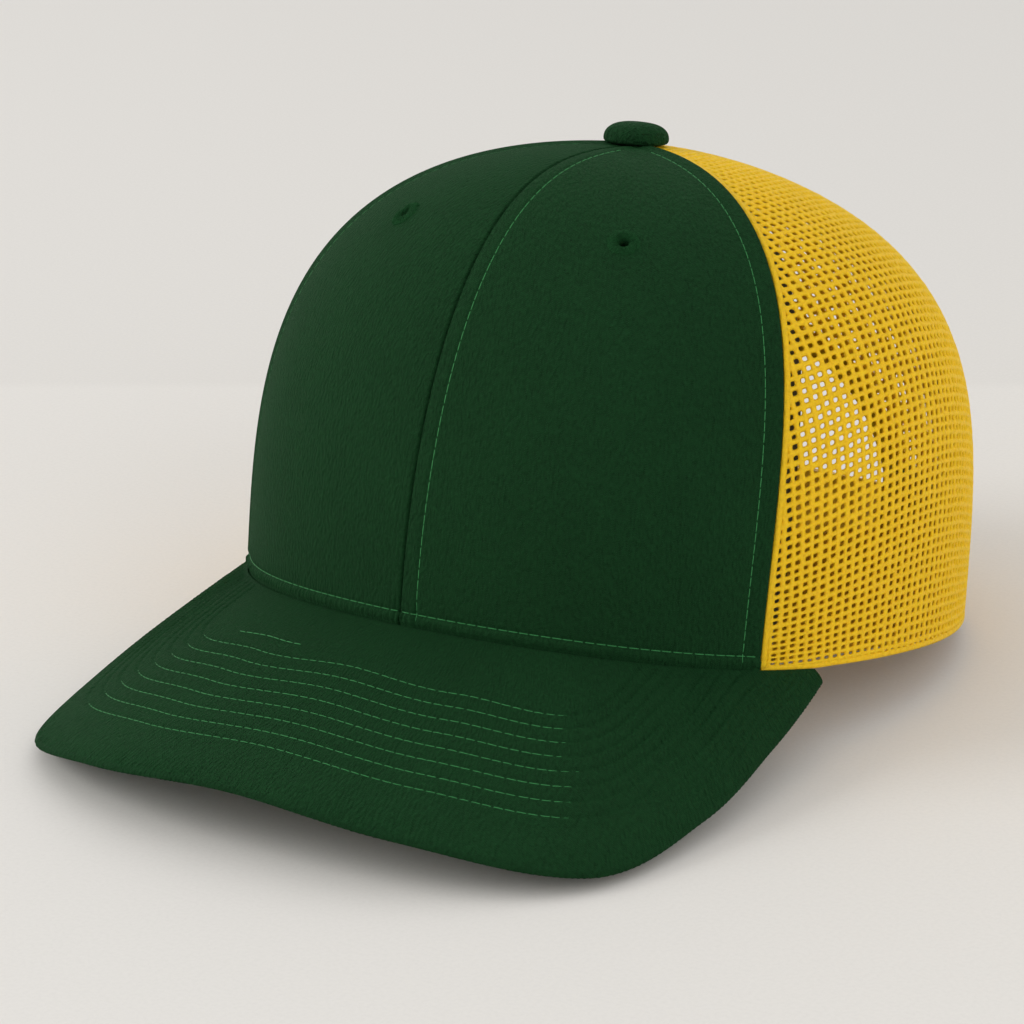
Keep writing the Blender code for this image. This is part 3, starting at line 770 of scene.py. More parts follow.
def floor_material():
    inputs = {"Roughness": 0.75, "Specular IOR Level": 0.2}
    material, tree, shader, where = new_material("floor_paper", inputs)
    grain = noise(tree, where, 1 / 900, 3.0, 0.6)
    # Painted shade: the floor's colour drops softly beyond a line behind the cap
    across = node(tree, "VectorMath", operation="DOT_PRODUCT")
    tree.links.new(where, across.inputs[0])
    across.inputs[1].default_value = (-math.sin(HORIZON_SHADE_TURN), math.cos(HORIZON_SHADE_TURN), 0.0)
    horizon_shade = node(tree, "MapRange")
    horizon_shade.inputs["From Min"].default_value = HORIZON_SHADE_LINE - HORIZON_SHADE_SOFT
    horizon_shade.inputs["From Max"].default_value = HORIZON_SHADE_LINE + HORIZON_SHADE_SOFT
    horizon_shade.inputs["To Min"].default_value = HORIZON_SHADE_TONE
    horizon_shade.inputs["To Max"].default_value = 0.0
    tree.links.new(across.outputs["Value"], horizon_shade.inputs["Value"])
    tone = blend_values(tree, "MULTIPLY_ADD", grain, 0.75, horizon_shade.outputs["Result"])
    colour_mix(tree, shader, tone, shade(FLOOR_COLOUR, 0.965), shade(FLOOR_COLOUR, 1.025))
    bumps(tree, shader, [(grain, 0.00005, 0.3)])
    return material


MATERIALS = {
    "cloth": cloth_material("green_cloth_weave", GREEN),
    "button": cloth_material("green_cloth_button", GREEN, from_weave=False),
    "thread": thread_material("green_topstitch", THREAD_GREEN),
    "eyelet_thread": cloth_material(
        "green_eyelet_thread", shade(GREEN, 1.5), crepe=0.0005, from_weave=False,
    ),
    "netting": netting_material("yellow_netting", YELLOW),
    "yellow_thread": thread_material("yellow_thread", shade(YELLOW, 0.9)),
    "buckram": cloth_material("buckram_weave", BUCKRAM_WHITE, 0.06, 0.0012, 0.0016, 0.1),
    "tape": cloth_material("seam_tape_weave", TAPE_COLOUR, 0.15, 0.0008, 0.0009, 0.2),
    "binding": cloth_material("arch_binding_weave", shade(YELLOW, 0.8), 0.08, 0.0008, 0.0009, 0.2),
    "band": cloth_material("sweatband_weave", BAND_GOLD, 0.15, 0.0011, 0.0009, 0.2),
    "foam": foam_material("grey_foam", FOAM_GREY),
    "board": plastic_material("visor_board_plastic", BOARD_WHITE, 0.5),
    "snap": plastic_material("snap_plastic_gloss", YELLOW_PLASTIC, 0.33),
    "metal": metal_material("button_metal"),
}


def crown_piece(name, points, faces, material, replaced=(), weave=None):
    piece = add_piece(name, points, faces, MATERIALS[material], weave)
    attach(piece, "crown")
    if replaced:
        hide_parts(*replaced)
    return piece


def crown_sheet(name, outer, inner, material, replaced, weave=None, keep=None, side=1):
    points, faces, used = closed_sheet(outer, inner, keep)
    both = None if weave is None else np.concatenate([weave.reshape(-1, 3)] * 2)[used]
    return crown_piece(name, flip_x(points, side), faces, material, (replaced,), both)


def sewing(name, rows, side=1, material="thread"):
    """Stitches along each (path, normals) of rows, as one piece."""
    parts = []
    for path, normals in rows:
        parts += stitches(flip_x(path, side), flip_x(normals, side))
    points, faces = merge(parts)
    crown_piece(name, points, faces, material)


# ---- front panels

def skirt_drop(angle):
    attached = math.pi / 2 + math.radians(VISOR_END_ANGLE)
    fade = smooth_step((angle_from_front(angle) - attached) / SKIRT_FADE)
    return SKIRT_REST + SKIRT_DROP * (1.0 - fade)


def front_relief(patch, side):
    """How far the cloth stands proud of the crown: rolled seams, sunk stitch rows, soft waves."""
    centre = patch.d0
    edge = patch.d1
    up = patch.up
    pucker = np.sin(2 * math.pi * up / STITCH_PITCH)
    relief = CLOTH_PUFF * ripple(centre * side, up, 3, 0.05)
    relief *= smooth_step(centre / 0.01) * smooth_step(edge / 0.01)
    relief -= mark(centre, CENTRE_GROOVE) + mark(centre, CENTRE_HOLLOW)
    crimped = mark(centre - 0.0013, CRIMP)
    if side > 0:
        off = centre - TOPSTITCH
        relief += TOPSTITCH_PUFF * band(centre, 0.0004, 0.0046, 0.0012)
        relief += pucker * mark(off, ROW_PUCKER) - mark(off, ROW_SINK)
        crimped += mark(off, CRIMP)
    off = edge - TOPSTITCH
    relief += EDGE_LIFT * smooth_step(1.0 - (edge - 0.0006) / 0.004) - mark(edge, EDGE_GROOVE)
    relief += pucker * mark(off, EDGE_PUCKER) - mark(off, ROW_SINK)
    off = up - BASE_STITCH
    fine = np.sin(2 * math.pi * (centre / 0.0017 + 0.35 * ripple(centre, up, 9, 0.012)))
    relief += (BASE_ROLL + BASE_ROLL_FINE * fine) * band(up, 0.0001, BASE_STITCH - 0.0002, 0.0009)
    relief += fine * mark(off, BASE_PUCKER) - mark(off, BASE_SINK)
    return relief - crimped * band(up, 0.0004, 0.0068, 0.0018)


def eyelet_place():
    angle = math.radians(FRONT + EYELET_ANGLE)
    return crown_point(angle, EYELET_RISE), crown_normal(angle, EYELET_RISE)


def clear_of_eyelet(grid):
    """Which faces of a grid stay when the panel gets its eyelet hole."""
    middle = (grid[:-1, :-1] + grid[1:, 1:]) / 2
    return np.linalg.norm(middle - eyelet_place()[0], axis=2) > PANEL_HOLE_RADIUS


def front_panel(label, side):
    patch = Patch(FRONT, FRONT_SEAM, graded(230), graded_start(170), gap=0.00005)
    front = patch.place(front_relief(patch, side))
    inner = patch.place(-PANEL_THICKNESS)
    drop = np.zeros((1, front.shape[1], 3))
    drop[0, :, 2] = skirt_drop(patch.angles[0])
    outer = np.concatenate((front[:1] - drop, front))
    inner = np.concatenate((inner[:1] - drop, inner))
    weave = np.concatenate((patch.weave()[:1], patch.weave()))
    crown_sheet(
        f"front_cloth_{label}", outer, inner, "cloth", f"front_panel_{label}",
        flip_x(weave, side), clear_of_eyelet(outer), side,
    )
    rows = []
    used = slice(4, len(patch.up) - 8)
    for from_end in (False, True):
        if from_end or side > 0:
            path = patch.column_at(front, TOPSTITCH, from_end)
            rows.append((path[used], unit(patch.column_at(patch.normal, TOPSTITCH, from_end)[used])))
    base = patch.row_at(front, BASE_STITCH)
    rows.append((base[3:-3], patch.row_at(patch.normal, BASE_STITCH)[3:-3]))
    sewing(f"front_topstitch_{label}", rows, side)


def buckram_sheet(label, side):
    """Stiffener: a smooth sheet behind a front panel, with the same eyelet hole."""
    patch = Patch(FRONT, FRONT_SEAM, graded(70), np.linspace(0.004, 1.0, 60), 0.0006, 0.012)
    outer = patch.place(-BUCKRAM[0])
    crown_sheet(
        f"buckram_sheet_{label}", outer, patch.place(-BUCKRAM[1]), "buckram",
        f"front_buckram_{label}", patch.weave(), clear_of_eyelet(outer), side,
    )


# ---- netting

class NetSurface:
    """Maps (across, up) in metres to the crown between two seams; up runs along the middle."""

    def __init__(self, first, last):
        self.patch = Patch(first, last, np.linspace(0.0, 1.0, 61), np.linspace(0.0, 1.0, 400))
        self.height = self.patch.up[:, 30]
        self.width = self.patch.d0[:, -1]
        self.level = self.patch.levels[:, 30]

    def half_width(self, up):
        return np.interp(up, self.height, self.width) / 2

    def place(self, across, up):
        level = np.interp(up, self.height, self.level)
        share = np.clip(0.5 + across / (2 * self.half_width(up)), 0.0, 1.0)
        foot = self.patch.angle(share, level)
        return crown_point(foot, level)

    def frame(self, across, up):
        step = 0.0006
        point = self.place(across, up)
        along = self.place(across + step, up) - self.place(across - step, up)
        above = self.place(across, np.minimum(up + step, self.height[-1]))
        rise = above - self.place(across, np.maximum(up - step, 0.0))
        return point, unit(np.cross(along, rise))


def in_arch(points, margin):
    """Inside the rear opening, grown by a margin."""
    x = np.abs(points[..., 0]) / (ARCH_HALF_WIDTH + margin)
    z = np.clip(points[..., 2], 0.0, None) / (ARCH_HEIGHT + margin)
    return (x**ARCH_POWER + z**ARCH_POWER < 1.0) & (points[..., 1] > 0)


def netting(name, first, last, side, seed, replaced, arch=False):
    """Knitted net: every cell is a ring of rounded strand round its own hole."""
    surface = NetSurface(first, last)
    top = surface.height[-1]
    source = np.random.default_rng(seed)
    columns = int(math.ceil(surface.width.max() / 2 / CELL[0]))
    rows = int(top / CELL[1])
    i, j = np.meshgrid(np.arange(-columns, columns), np.arange(rows), indexing="ij")
    middle = (j + 0.5) * CELL[1]
    half = surface.half_width(middle)
    left = np.maximum(i * CELL[0], -half)
    right = np.minimum((i + 1) * CELL[0], half)
    present = right - left > 0.25 * CELL[0]
    if arch:
        present &= ~in_arch(surface.place((left + right) / 2, middle), 0.0016)
    i, j, left, right, middle = (grid[present] for grid in (i, j, left, right, middle))
    cells = len(i)

    # crests: the cells share them with their neighbours
    shape = (2 * columns * 2 + 1, rows * 2 + 1)
    wobble = source.normal(0.0, STRAND_WOBBLE, (*shape, 2)) * np.array(CELL)
    spread = 1.0 + source.normal(0.0, YARN_UNEVEN, shape)
    a = np.stack([2 * (i + columns) + 1 + d[0] for d in RING], -1)
    b = np.stack([2 * j + 1 + d[1] for d in RING], -1)
    code = a * shape[1] + b
    crest_codes, crest = np.unique(code, return_inverse=True)
    crest = crest.reshape(code.shape)
    ca, cb = crest_codes // shape[1], crest_codes % shape[1]
    crest_u = (ca / 2 - columns) * CELL[0] + wobble[ca, cb, 0]
    crest_v = np.clip(cb / 2 * CELL[1] + wobble[ca, cb, 1] * (cb > 0), 0.0, top)
    limit = surface.half_width(crest_v)
    crest_u = np.clip(crest_u, -limit, limit)
    node_rise = np.where((ca % 2 == 0) & (cb % 2 == 0), 1.1, np.where(ca % 2 == 0, 1.05, 0.86))
    crest_rise = STRAND_RISE * node_rise * spread[ca, cb]

    # holes
    angles = np.arctan2([d[1] for d in RING], [d[0] for d in RING])
    diagonal = np.array([HOLE_DIAGONAL * math.sqrt(2) if d[0] and d[1] else 1.0 for d in RING])
    open_share = np.clip((right - left) / CELL[0], 0.0, 1.0) ** 1.5
    grow = 1.0 + source.normal(0.0, YARN_UNEVEN, cells)
    lean = source.normal(0.0, HOLE_LEAN, (cells, 2)) * np.array(CELL)
    centre_u = (left + right) / 2 + lean[:, 0] * open_share
    centre_v = middle + lean[:, 1]
    rim_noise = 1.0 + source.normal(0.0, RIM_UNEVEN, (cells, 8))
    reach_u = (HOLE_SHARE[0] * CELL[0] * open_share * grow)[:, None] * rim_noise
    reach_v = (HOLE_SHARE[1] * CELL[1] * (0.55 + 0.45 * open_share) * grow)[:, None] * rim_noise
    rim_u = centre_u[:, None] + reach_u * np.cos(angles) * diagonal
    rim_v = centre_v[:, None] + reach_v * np.sin(angles) * diagonal

    # the strand's shoulder, between crest and hole
    mid_u = 0.48 * crest_u[crest] + 0.52 * rim_u
    mid_v = 0.48 * crest_v[crest] + 0.52 * rim_v
    mid_rise = 0.84 * crest_rise[crest]

    flat_u = np.concatenate((crest_u, mid_u.ravel(), rim_u.ravel()))
    flat_v = np.concatenate((crest_v, mid_v.ravel(), rim_v.ravel()))
    point, normal = surface.frame(flat_u, flat_v)
    point = point - normal * (PANEL_THICKNESS / 2)
    count = len(crest_u)
    many = cells * 8
    rise = np.concatenate((crest_rise, mid_rise.ravel()))[:, None]
    upper = point[:count + many] + normal[:count + many] * rise
    lower = point[:count + many] - normal[:count + many] * rise
    rim = point[count + many:]
    points = np.concatenate((upper, lower, rim))

    offset = count + many
    mid = count + np.arange(many).reshape(cells, 8)
    hole = 2 * offset + np.arange(many).reshape(cells, 8)
    quads = []
    edges = []
    for k in range(8):
        n = (k + 1) % 8
        outside = np.stack((crest[:, k], crest[:, n], mid[:, n], mid[:, k]), -1)
        inside = np.stack((mid[:, k], mid[:, n], hole[:, n], hole[:, k]), -1)
        inside_low = np.stack((mid[:, k] + offset, mid[:, n] + offset, hole[:, n], hole[:, k]), -1)
        quads += [outside, inside, (outside + offset)[:, ::-1], inside_low[:, ::-1]]
        edges.append(np.stack((crest[:, k], crest[:, n]), -1))
    edges = np.concatenate(edges)
    _, where, uses = np.unique(np.sort(edges, axis=1), axis=0, return_inverse=True, return_counts=True)
    lone = edges[uses[where.ravel()] == 1]
    walls = np.stack((lone[:, 1], lone[:, 0], lone[:, 0] + offset, lone[:, 1] + offset), -1)
    faces = [np.concatenate(quads + [walls])]
    points = flip_x(points, side)
    crown_piece(name, points, faces, "netting", (replaced,))
    return surface


def hems(name, surface, side, lines):
    """Folded edges of a net panel; each line is (which edge, half width, where it starts)."""
    parts = []
    height = np.linspace(0.0, surface.height[-1] * 0.985, 220)
    for edge, half_width, start in lines:
        if edge == "base":
            across = np.linspace(-1, 1, 160) * surface.half_width(0.0)
            up = np.full(160, 0.0006)
        else:
            up = height[height >= start]
            across = edge * (surface.half_width(up) - half_width * 0.9)
        point, normal = surface.frame(across, up)
        path = point - normal * (PANEL_THICKNESS / 2)
        parts.append(strand(flip_x(path, side), flip_x(normal, side), half_width, HEM_HALF_HEIGHT))
    points, faces = merge(parts)
    crown_piece(name, points, faces, "netting")


# ---- strips inside the crown

def seam_strip(word, seam, side):
    start = TAPE_START
    if seam == BACK:
        start = float(level_at_height(math.pi / 2, ARCH_HEIGHT + BINDING_LEG + 0.002))
    top = math.acos((TAPE_END_RADIUS / HALF_WIDTH) ** (1 / REACH_POWER[0])) / (math.pi / 2)
    fine = start + (top - start) * np.linspace(0, 1, 300) ** 2
    run = run_along(crown_point(seam_angle(seam, fine), fine))
    heights = np.linspace(0, run[-1], 110)
    levels = np.interp(heights, run, fine)
    offsets = np.linspace(-1.0, 1.0, 25)
    radius = HALF_WIDTH * np.cos(levels * math.pi / 2) ** REACH_POWER[0]
    half = TAPE_WIDTH / 2
    angle = seam_angle(seam, levels)[:, None] + offsets[None] * (half / radius)[:, None]
    level = np.broadcast_to(levels[:, None], angle.shape)
    normal = crown_normal(angle, level)
    surface = crown_point(angle, level)
    across = offsets * half
    from_middle = np.abs(across)[None]
    ridge = TAPE_PUFF * band(from_middle, 0.0, 0.0045, 0.001) - mark(from_middle - TAPE_ROW, TAPE_ROW_SINK)
    inner = surface - normal * (TAPE[1] + ridge)[..., None]
    crown_sheet(
        f"tape_{word}", surface - normal * TAPE[0], inner, "tape", f"seam_tape_{word}",
        stacked(across[None], heights[:, None], 0.0), side=side,
    )
    columns = [np.abs(across - offset).argmin() for offset in (-TAPE_ROW, TAPE_ROW)]
    rows = [(inner[2:-2, column], -normal[2:-2, column]) for column in columns]
    sewing(f"tape_{word}_stitches", rows, side)


def band_grid(depth, angles, span, columns, rows, bulge):
    angle = np.radians(np.linspace(angles[0], angles[1], columns))
    share = np.linspace(0.0, 1.0, rows)
    height = (base_height(angle) + span[0])[None] + (span[1] - span[0]) * share[:, None]
    level = level_at_height(angle[None], height)
    surface = crown_point(np.broadcast_to(angle[None], level.shape), level)
    normal = grid_normal(surface)
    swell = bulge(share[:, None], angle[None])
    outer = surface - normal * depth[0]
    inner = surface - normal * (depth[1] + swell)[..., None]
    return outer, inner, normal, stacked(run_along(surface[0])[None], height, 0.0)


def sweatband_swell(share, angle):
    soft = BAND_PUFF * np.sin(math.pi * np.clip(share, 0, 1)) ** 0.6
    seams = BAND_SEAM * (bell(share - 0.1, 0.02) + bell(share - 0.9, 0.02))
    near_seams = bell(share - 0.1, 0.1) + bell(share - 0.9, 0.1)
    folds = BAND_FOLD * np.sin(angle * 140 + 3 * np.sin(angle * 17)) * near_seams
    return np.clip(soft - seams + folds, 0.0, None)


def sweatband():
    end = math.degrees(math.acos((ARCH_HALF_WIDTH + BAND_ARCH_GAP) / HALF_WIDTH))
    angles = (180.0 - end, 360.0 + end)
    outer, inner, normal, weave = band_grid(BAND, angles, BAND_SPAN, 460, 40, sweatband_swell)
    piece = crown_sheet("sweatband_cloth", outer, inner, "band", "sweatband", weave)
    sewing("sweatband_stitches", [(inner[row, 3:-3], -normal[row, 3:-3]) for row in (4, 36)])


def foam_swell(share, _):
    return FOAM_PUFF * np.sin(math.pi * share)


def foam_pad():
    outer, inner, _, _ = band_grid(FOAM, FOAM_ANGLES, FOAM_SPAN, 160, 20, foam_swell)
    piece = crown_sheet("foam_pad", outer, inner, "foam", "sweatband_foam")


# ---- visor

def visor_reach(angle):
    """Reach of the visor's outline at an angle from straight ahead, smooth through VISOR_REACH."""
    angle = np.abs(np.degrees(angle))
    stops = np.array(VISOR_REACH)
    after = (2 * stops[-1, 0] - stops[-2, 0], stops[-1, 1])
    before = np.vstack(((-stops[1, 0], stops[1, 1]), stops, after))
    k = np.clip(np.searchsorted(stops[:, 0], angle, side="left") - 1, 0, len(stops) - 2)
    a0, r0 = stops[k, 0], stops[k, 1]
    a1, r1 = stops[k + 1, 0], stops[k + 1, 1]
    slope0 = (r1 - before[k, 1]) / (a1 - before[k, 0])
    slope1 = (before[k + 3, 1] - r0) / (before[k + 3, 0] - a0)
    span = a1 - a0
    t = (angle - a0) / span
    return (
        (2 * t**3 - 3 * t**2 + 1) * r0 + (t**3 - 2 * t**2 + t) * span * slope0
        + (-2 * t**3 + 3 * t**2) * r1 + (t**3 - t**2) * span * slope1
    )


def visor_root(angle):
    width = HALF_WIDTH + VISOR_GAP
    length = HALF_LENGTH + VISOR_GAP
    run_x = np.sin(angle)
    run_y = -np.cos(angle)
    a = (run_x / width) ** 2 + (run_y / length) ** 2
    b = 2 * VISOR_CENTRE * run_y / length**2
    c = (VISOR_CENTRE / length) ** 2 - 1
    return (-b + np.sqrt(b * b - 4 * a * c)) / (2 * a)


def visor_point(angle, reach, depth):
    """Point under the visor's top face, by depth along the face's own normal."""
    x = reach * np.sin(angle)
    y = VISOR_CENTRE - reach * np.cos(angle)
    slope_x = -(2 * VISOR_BEND * x / HALF_WIDTH**2 + 4 * VISOR_BEND_4 * x**3 / HALF_WIDTH**4)
    slope_y = VISOR_RISE - 2 * VISOR_DIP * (y + HALF_LENGTH) / VISOR_DIP_LENGTH**2
    steep = np.sqrt(1 + slope_x**2 + slope_y**2)
    return stacked(x, y, visor_height(x, y) - depth * steep)


def visor_normal(angle, reach):
    step = 0.0005
    up = visor_point(angle, reach + step, 0.0) - visor_point(angle, reach - step, 0.0)
    along = visor_point(angle + step * 10, reach, 0.0) - visor_point(angle - step * 10, reach, 0.0)
    normal = unit(np.cross(along, up))
    return normal * np.sign(normal[..., 2:])


def row_drop(k, angle):
    """Distance from the visor's outline to stitch row k; the rows close up towards the sides."""
    front = VISOR_FIRST_ROW + VISOR_ROW_PITCH * k
    side = smooth_step((np.abs(np.degrees(angle)) - 22.0) / 26.0)
    return front * (1.0 - (1.0 - VISOR_SIDE_SHARE) * side)


def visor_relief(angle, drop):
    """Sunk stitch rows with soft cloth between them, pleats at the rolled edge, side creases."""
    degrees = np.abs(np.degrees(angle))
    run = angle * VISOR_ARC
    relief = VISOR_PUFF * ripple(run, drop, 21, 0.04)
    for k in range(VISOR_ROWS):
        off = drop - row_drop(k, angle)
        pucker = np.sin(2 * math.pi * run / STITCH_PITCH + k)
        relief = relief - mark(off, VISOR_ROW_SINK) + mark(np.abs(off) - 0.0014, VISOR_ROW_LIP)
        relief = relief + pucker * mark(off, VISOR_ROW_PUCKER)
    pleat = np.sin(2 * math.pi * (run / 0.0016 + 0.5 * ripple(run, drop, 5, 0.02)))
    uneven = 1.0 + 0.6 * ripple(run, drop, 6, 0.05)
    crease = np.sin(2 * math.pi * (drop / 0.0019 + 0.8 * ripple(run, drop, 8, 0.03)))
    side = smooth_step((degrees - 44.0) / 14.0) * band(drop, 0.002, 0.03, 0.004)
    return relief + VISOR_PLEAT * pleat * np.exp(-drop / 0.004) * uneven + VISOR_CREASE * crease * side


def visor_depth(drop):
    """Thickness of the visor at a distance from its outline; it thins towards the rolled edge."""
    share = smooth_step(drop / VISOR_TAPER)
    return VISOR_EDGE_THICKNESS + (VISOR_THICKNESS - VISOR_EDGE_THICKNESS) * share


def visor_droop(drop):
    """The top cover rounds down by this much near the outline."""
    return VISOR_EDGE_DROOP * np.clip(1.0 - (drop - VISOR_EDGE_PULL) / VISOR_DROOP_WIDTH, 0.0, 1.0) ** 2


def visor_columns(count, span):
    return np.radians(np.linspace(-span, span, count))


def visor_grid(angle, root, edge, rows):
    """Angles and reaches of a grid from the visor's root to its edge."""
    reach = root[None] + (edge - root)[None] * np.linspace(0.0, 1.0, rows)[:, None]
    return np.broadcast_to(angle[None], reach.shape), reach


def visor_top():
    """Top cover: over the visor, round its edge and back inside, as one closed ring per column."""
    angle = visor_columns(560, VISOR_SPAN)
    outline = visor_reach(angle)
    edge = outline - VISOR_EDGE_PULL
    root = visor_root(angle)
    radius = (VISOR_EDGE_THICKNESS - VISOR_EDGE_DROOP) / 2
    cover = 0.6 * radius
    wide, reach = visor_grid(angle, root, edge - radius, 132)
    drop = outline[None] - reach
    proud = visor_relief(wide, drop) * smooth_step((reach - root[None]) / 0.002) - visor_droop(drop)
    upper = visor_point(wide, reach, 0.0) + visor_normal(wide, reach) * proud[..., None]
    start = visor_droop(VISOR_EDGE_PULL + radius)
    turns = np.linspace(0, math.pi, 13)[1:]
    pleat = visor_relief(angle, np.full_like(angle, radius + VISOR_EDGE_PULL))
    rolled = []
    returned = []
    for turn in turns:
        out = radius * math.sin(turn) * (1 + pleat / radius * math.sin(turn))
        rolled.append(visor_point(angle, edge - radius + out, start + radius * (1 - math.cos(turn))))
    for turn in turns[::-3]:
        out = (radius - cover) * math.sin(turn)
        depth = start + radius - (radius - cover) * math.cos(turn)
        returned.append(visor_point(angle, edge - radius + out, depth))
    for step in np.linspace(1.0, 0.0, 25):
        place = root + (edge - radius - root) * step
        thickness = cover + (VISOR_COVER - cover) * smooth_step((outline - place) / 0.01)
        returned.append(visor_point(angle, place, thickness + visor_droop(outline - place)))
    sections = np.concatenate((upper, np.array(rolled), np.array(returned)))
    points, faces = ring_loft(sections.transpose(1, 0, 2))
    over_edge = edge[None] + 0.0004 * np.arange(len(rolled))[:, None]
    inside = np.broadcast_to(edge, (len(returned), len(angle)))
    along = np.concatenate((reach, over_edge, inside))
    weave = stacked(angle * VISOR_ARC, along, 0.0).transpose(1, 0, 2).reshape(-1, 3)
    crown_piece("visor_cloth_top", points, faces, "cloth", ("visor_top_cover",), weave)


def visor_under():
    angle = visor_columns(300, VISOR_SPAN - 1.5)
    outline = visor_reach(angle)
    edge = outline - VISOR_EDGE_PULL - VISOR_EDGE_THICKNESS / 2 - 0.0003
    root = visor_root(angle)
    wide, reach = visor_grid(angle, root, edge, 90)
    drop = outline[None] - reach
    relief = visor_relief(wide, drop) * band(reach, root[None], edge[None], 0.002)
    depth = visor_depth(drop)
    lower = visor_point(wide, reach, depth) - visor_normal(wide, reach) * relief[..., None]
    upper = visor_point(wide, reach, depth - VISOR_COVER)
    weave = stacked(wide * VISOR_ARC, reach, 0.0)
    crown_sheet("visor_cloth_under", lower, upper, "cloth", "visor_under_cover", weave)


def visor_core():
    """Board inside the visor, thinned where the visor thins, clear of both covers."""
    angle = visor_columns(160, VISOR_SPAN - 3.0)
    outline = visor_reach(angle)
    root = visor_root(angle) + VISOR_BOARD_INSET
    wide, reach = visor_grid(angle, root, outline - VISOR_EDGE_PULL - VISOR_BOARD_EDGE, 60)
    clear = VISOR_COVER + VISOR_BOARD_GAP
    upper = visor_point(wide, reach, clear)
    lower = visor_point(wide, reach, visor_depth(outline[None] - reach) - clear)
    crown_sheet("visor_core_board", upper, lower, "board", "visor_board")


def visor_stitches():
    """Rows through the visor, seen above and below, and one short row left of the middle."""
    fine = np.radians(np.linspace(-VISOR_ROW_END, VISOR_ROW_END, 1400))
    lines = [(k, -VISOR_ROW_END, VISOR_ROW_END) for k in range(VISOR_ROWS)]
    lines.append((VISOR_ROWS + 0.15, -32.0, -13.0))
    rows = []
    for k, first, last in lines:
        reach = visor_reach(fine) - row_drop(k, fine)
        inside = reach > visor_root(fine) + 0.0012
        inside &= (fine > math.radians(first)) & (fine < math.radians(last))
        angle = fine[inside]
        reach = reach[inside]
        drop = visor_reach(angle) - reach
        normal = visor_normal(angle, reach)
        sunk = visor_relief(angle, drop) - 0.00019 * smooth_step((np.abs(np.degrees(angle)) - 34.0) / 8.0)
        shift = normal * sunk[:, None]
        rows.append((visor_point(angle, reach, 0.0) + shift, normal))
        rows.append((visor_point(angle, reach, visor_depth(drop)) - shift, -normal))
    sewing("visor_stitch_rows", rows)


# ---- arch binding

def binding_section():
    """Outline of the folded binding, as (out from the crown, away from the arch's edge)."""
    face = BINDING_GAP
    back = -PANEL_THICKNESS - BINDING_GAP
    middle = (face + back) / 2
    half = (face - back) / 2

    def leg(upward, steps, thickness, sink):
        points = []
        for k in range(steps):
            along_leg = BINDING_LEG * (1 - k / steps)
            puff = thickness - sink * mark(along_leg - 0.0040, BINDING_ROW_SINK)
            points.append((middle + upward * (half + puff), along_leg))
        return points

    outline = leg(1, 12, BINDING_THICKNESS, 1.0)
    for swing in np.linspace(0.0, math.pi, 9):
        out = middle + math.cos(swing) * (half + BINDING_THICKNESS)
        outline.append((out, -BINDING_GAP - math.sin(swing) * BINDING_THICKNESS))
    outline += leg(-1, 12, BINDING_THICKNESS, 1.0)[::-1]
    outline += leg(-1, 3, 0.0, 0.0)
    outline += [(back, -BINDING_GAP), (face, -BINDING_GAP)]
    return outline + leg(1, 3, 0.0, 0.0)[::-1]


def arch_binding():
    lowest = STRAP_TOP + BINDING_FOOT_GAP
    low_share = (1.0 - (lowest / ARCH_HEIGHT) ** ARCH_POWER) ** (1.0 / ARCH_POWER)
    turn = math.asin(low_share ** (ARCH_POWER / 2)) * np.linspace(-1, 1, 220)
    x = ARCH_HALF_WIDTH * np.sign(turn) * np.abs(np.sin(turn)) ** (2 / ARCH_POWER)
    angle = np.arccos(x / HALF_WIDTH)
    level = level_at_height(angle, ARCH_HEIGHT * np.cos(turn) ** (2 / ARCH_POWER))
    place = crown_point(angle, level)
    normal = crown_normal(angle, level)
    away = unit(np.cross(normal, unit(np.gradient(place, axis=0))))
    outward = away[:, 0] * place[:, 0] + away[:, 2] * place[:, 2]
    away = away * np.sign(outward)[:, None]
    section = binding_section()
    rings = np.stack([place + normal * out + away * inset for out, inset in section], 1)
    points, faces = ring_loft(rings)
    insets = np.array([inset for _, inset in section])
    weave = stacked(run_along(place)[:, None], insets[None], 0.0).reshape(-1, 3)
    crown_piece("arch_binding_tape", points, faces, "binding", ("arch_binding",), weave)
    rows = []
    face = BINDING_GAP + BINDING_THICKNESS - 0.00015
    for out, direction in ((face, 1.0), (-PANEL_THICKNESS - face, -1.0)):
        rows.append((place + normal * out + away * 0.004, normal * direction))
    sewing("arch_binding_stitches", rows, 1, "yellow_thread")


# ---- closure

def strap_path(inward):
    """Middle of a strap at +X, from its sewn end along the crown, round its bend to its tip."""
    root = strap_root()
    path = []
    for x in np.linspace(TAB_END_X, STRAP_ROOT_X + 0.001, 26):
        path.append(tab_point(float(x), sum(STRAP_TAB) / 2, 0.0))
    radius = (STRAP_SET_OUT - inward) / (1 - math.cos(STRAP_TURN))
    for turn in STRAP_TURN * np.linspace(1.0, 0.0, 13):
        x = root[0] - radius * (math.sin(STRAP_TURN) - math.sin(turn))
        y = root[1] + radius * (math.cos(turn) - math.cos(STRAP_TURN))
        path.append(np.array((x, y, 0.0)))
    last = path[-1]
    for x in np.linspace(last[0], -STRAP_END, 60)[1:]:
        path.append(np.array((x, last[1], 0.0)))
    return np.array(path)


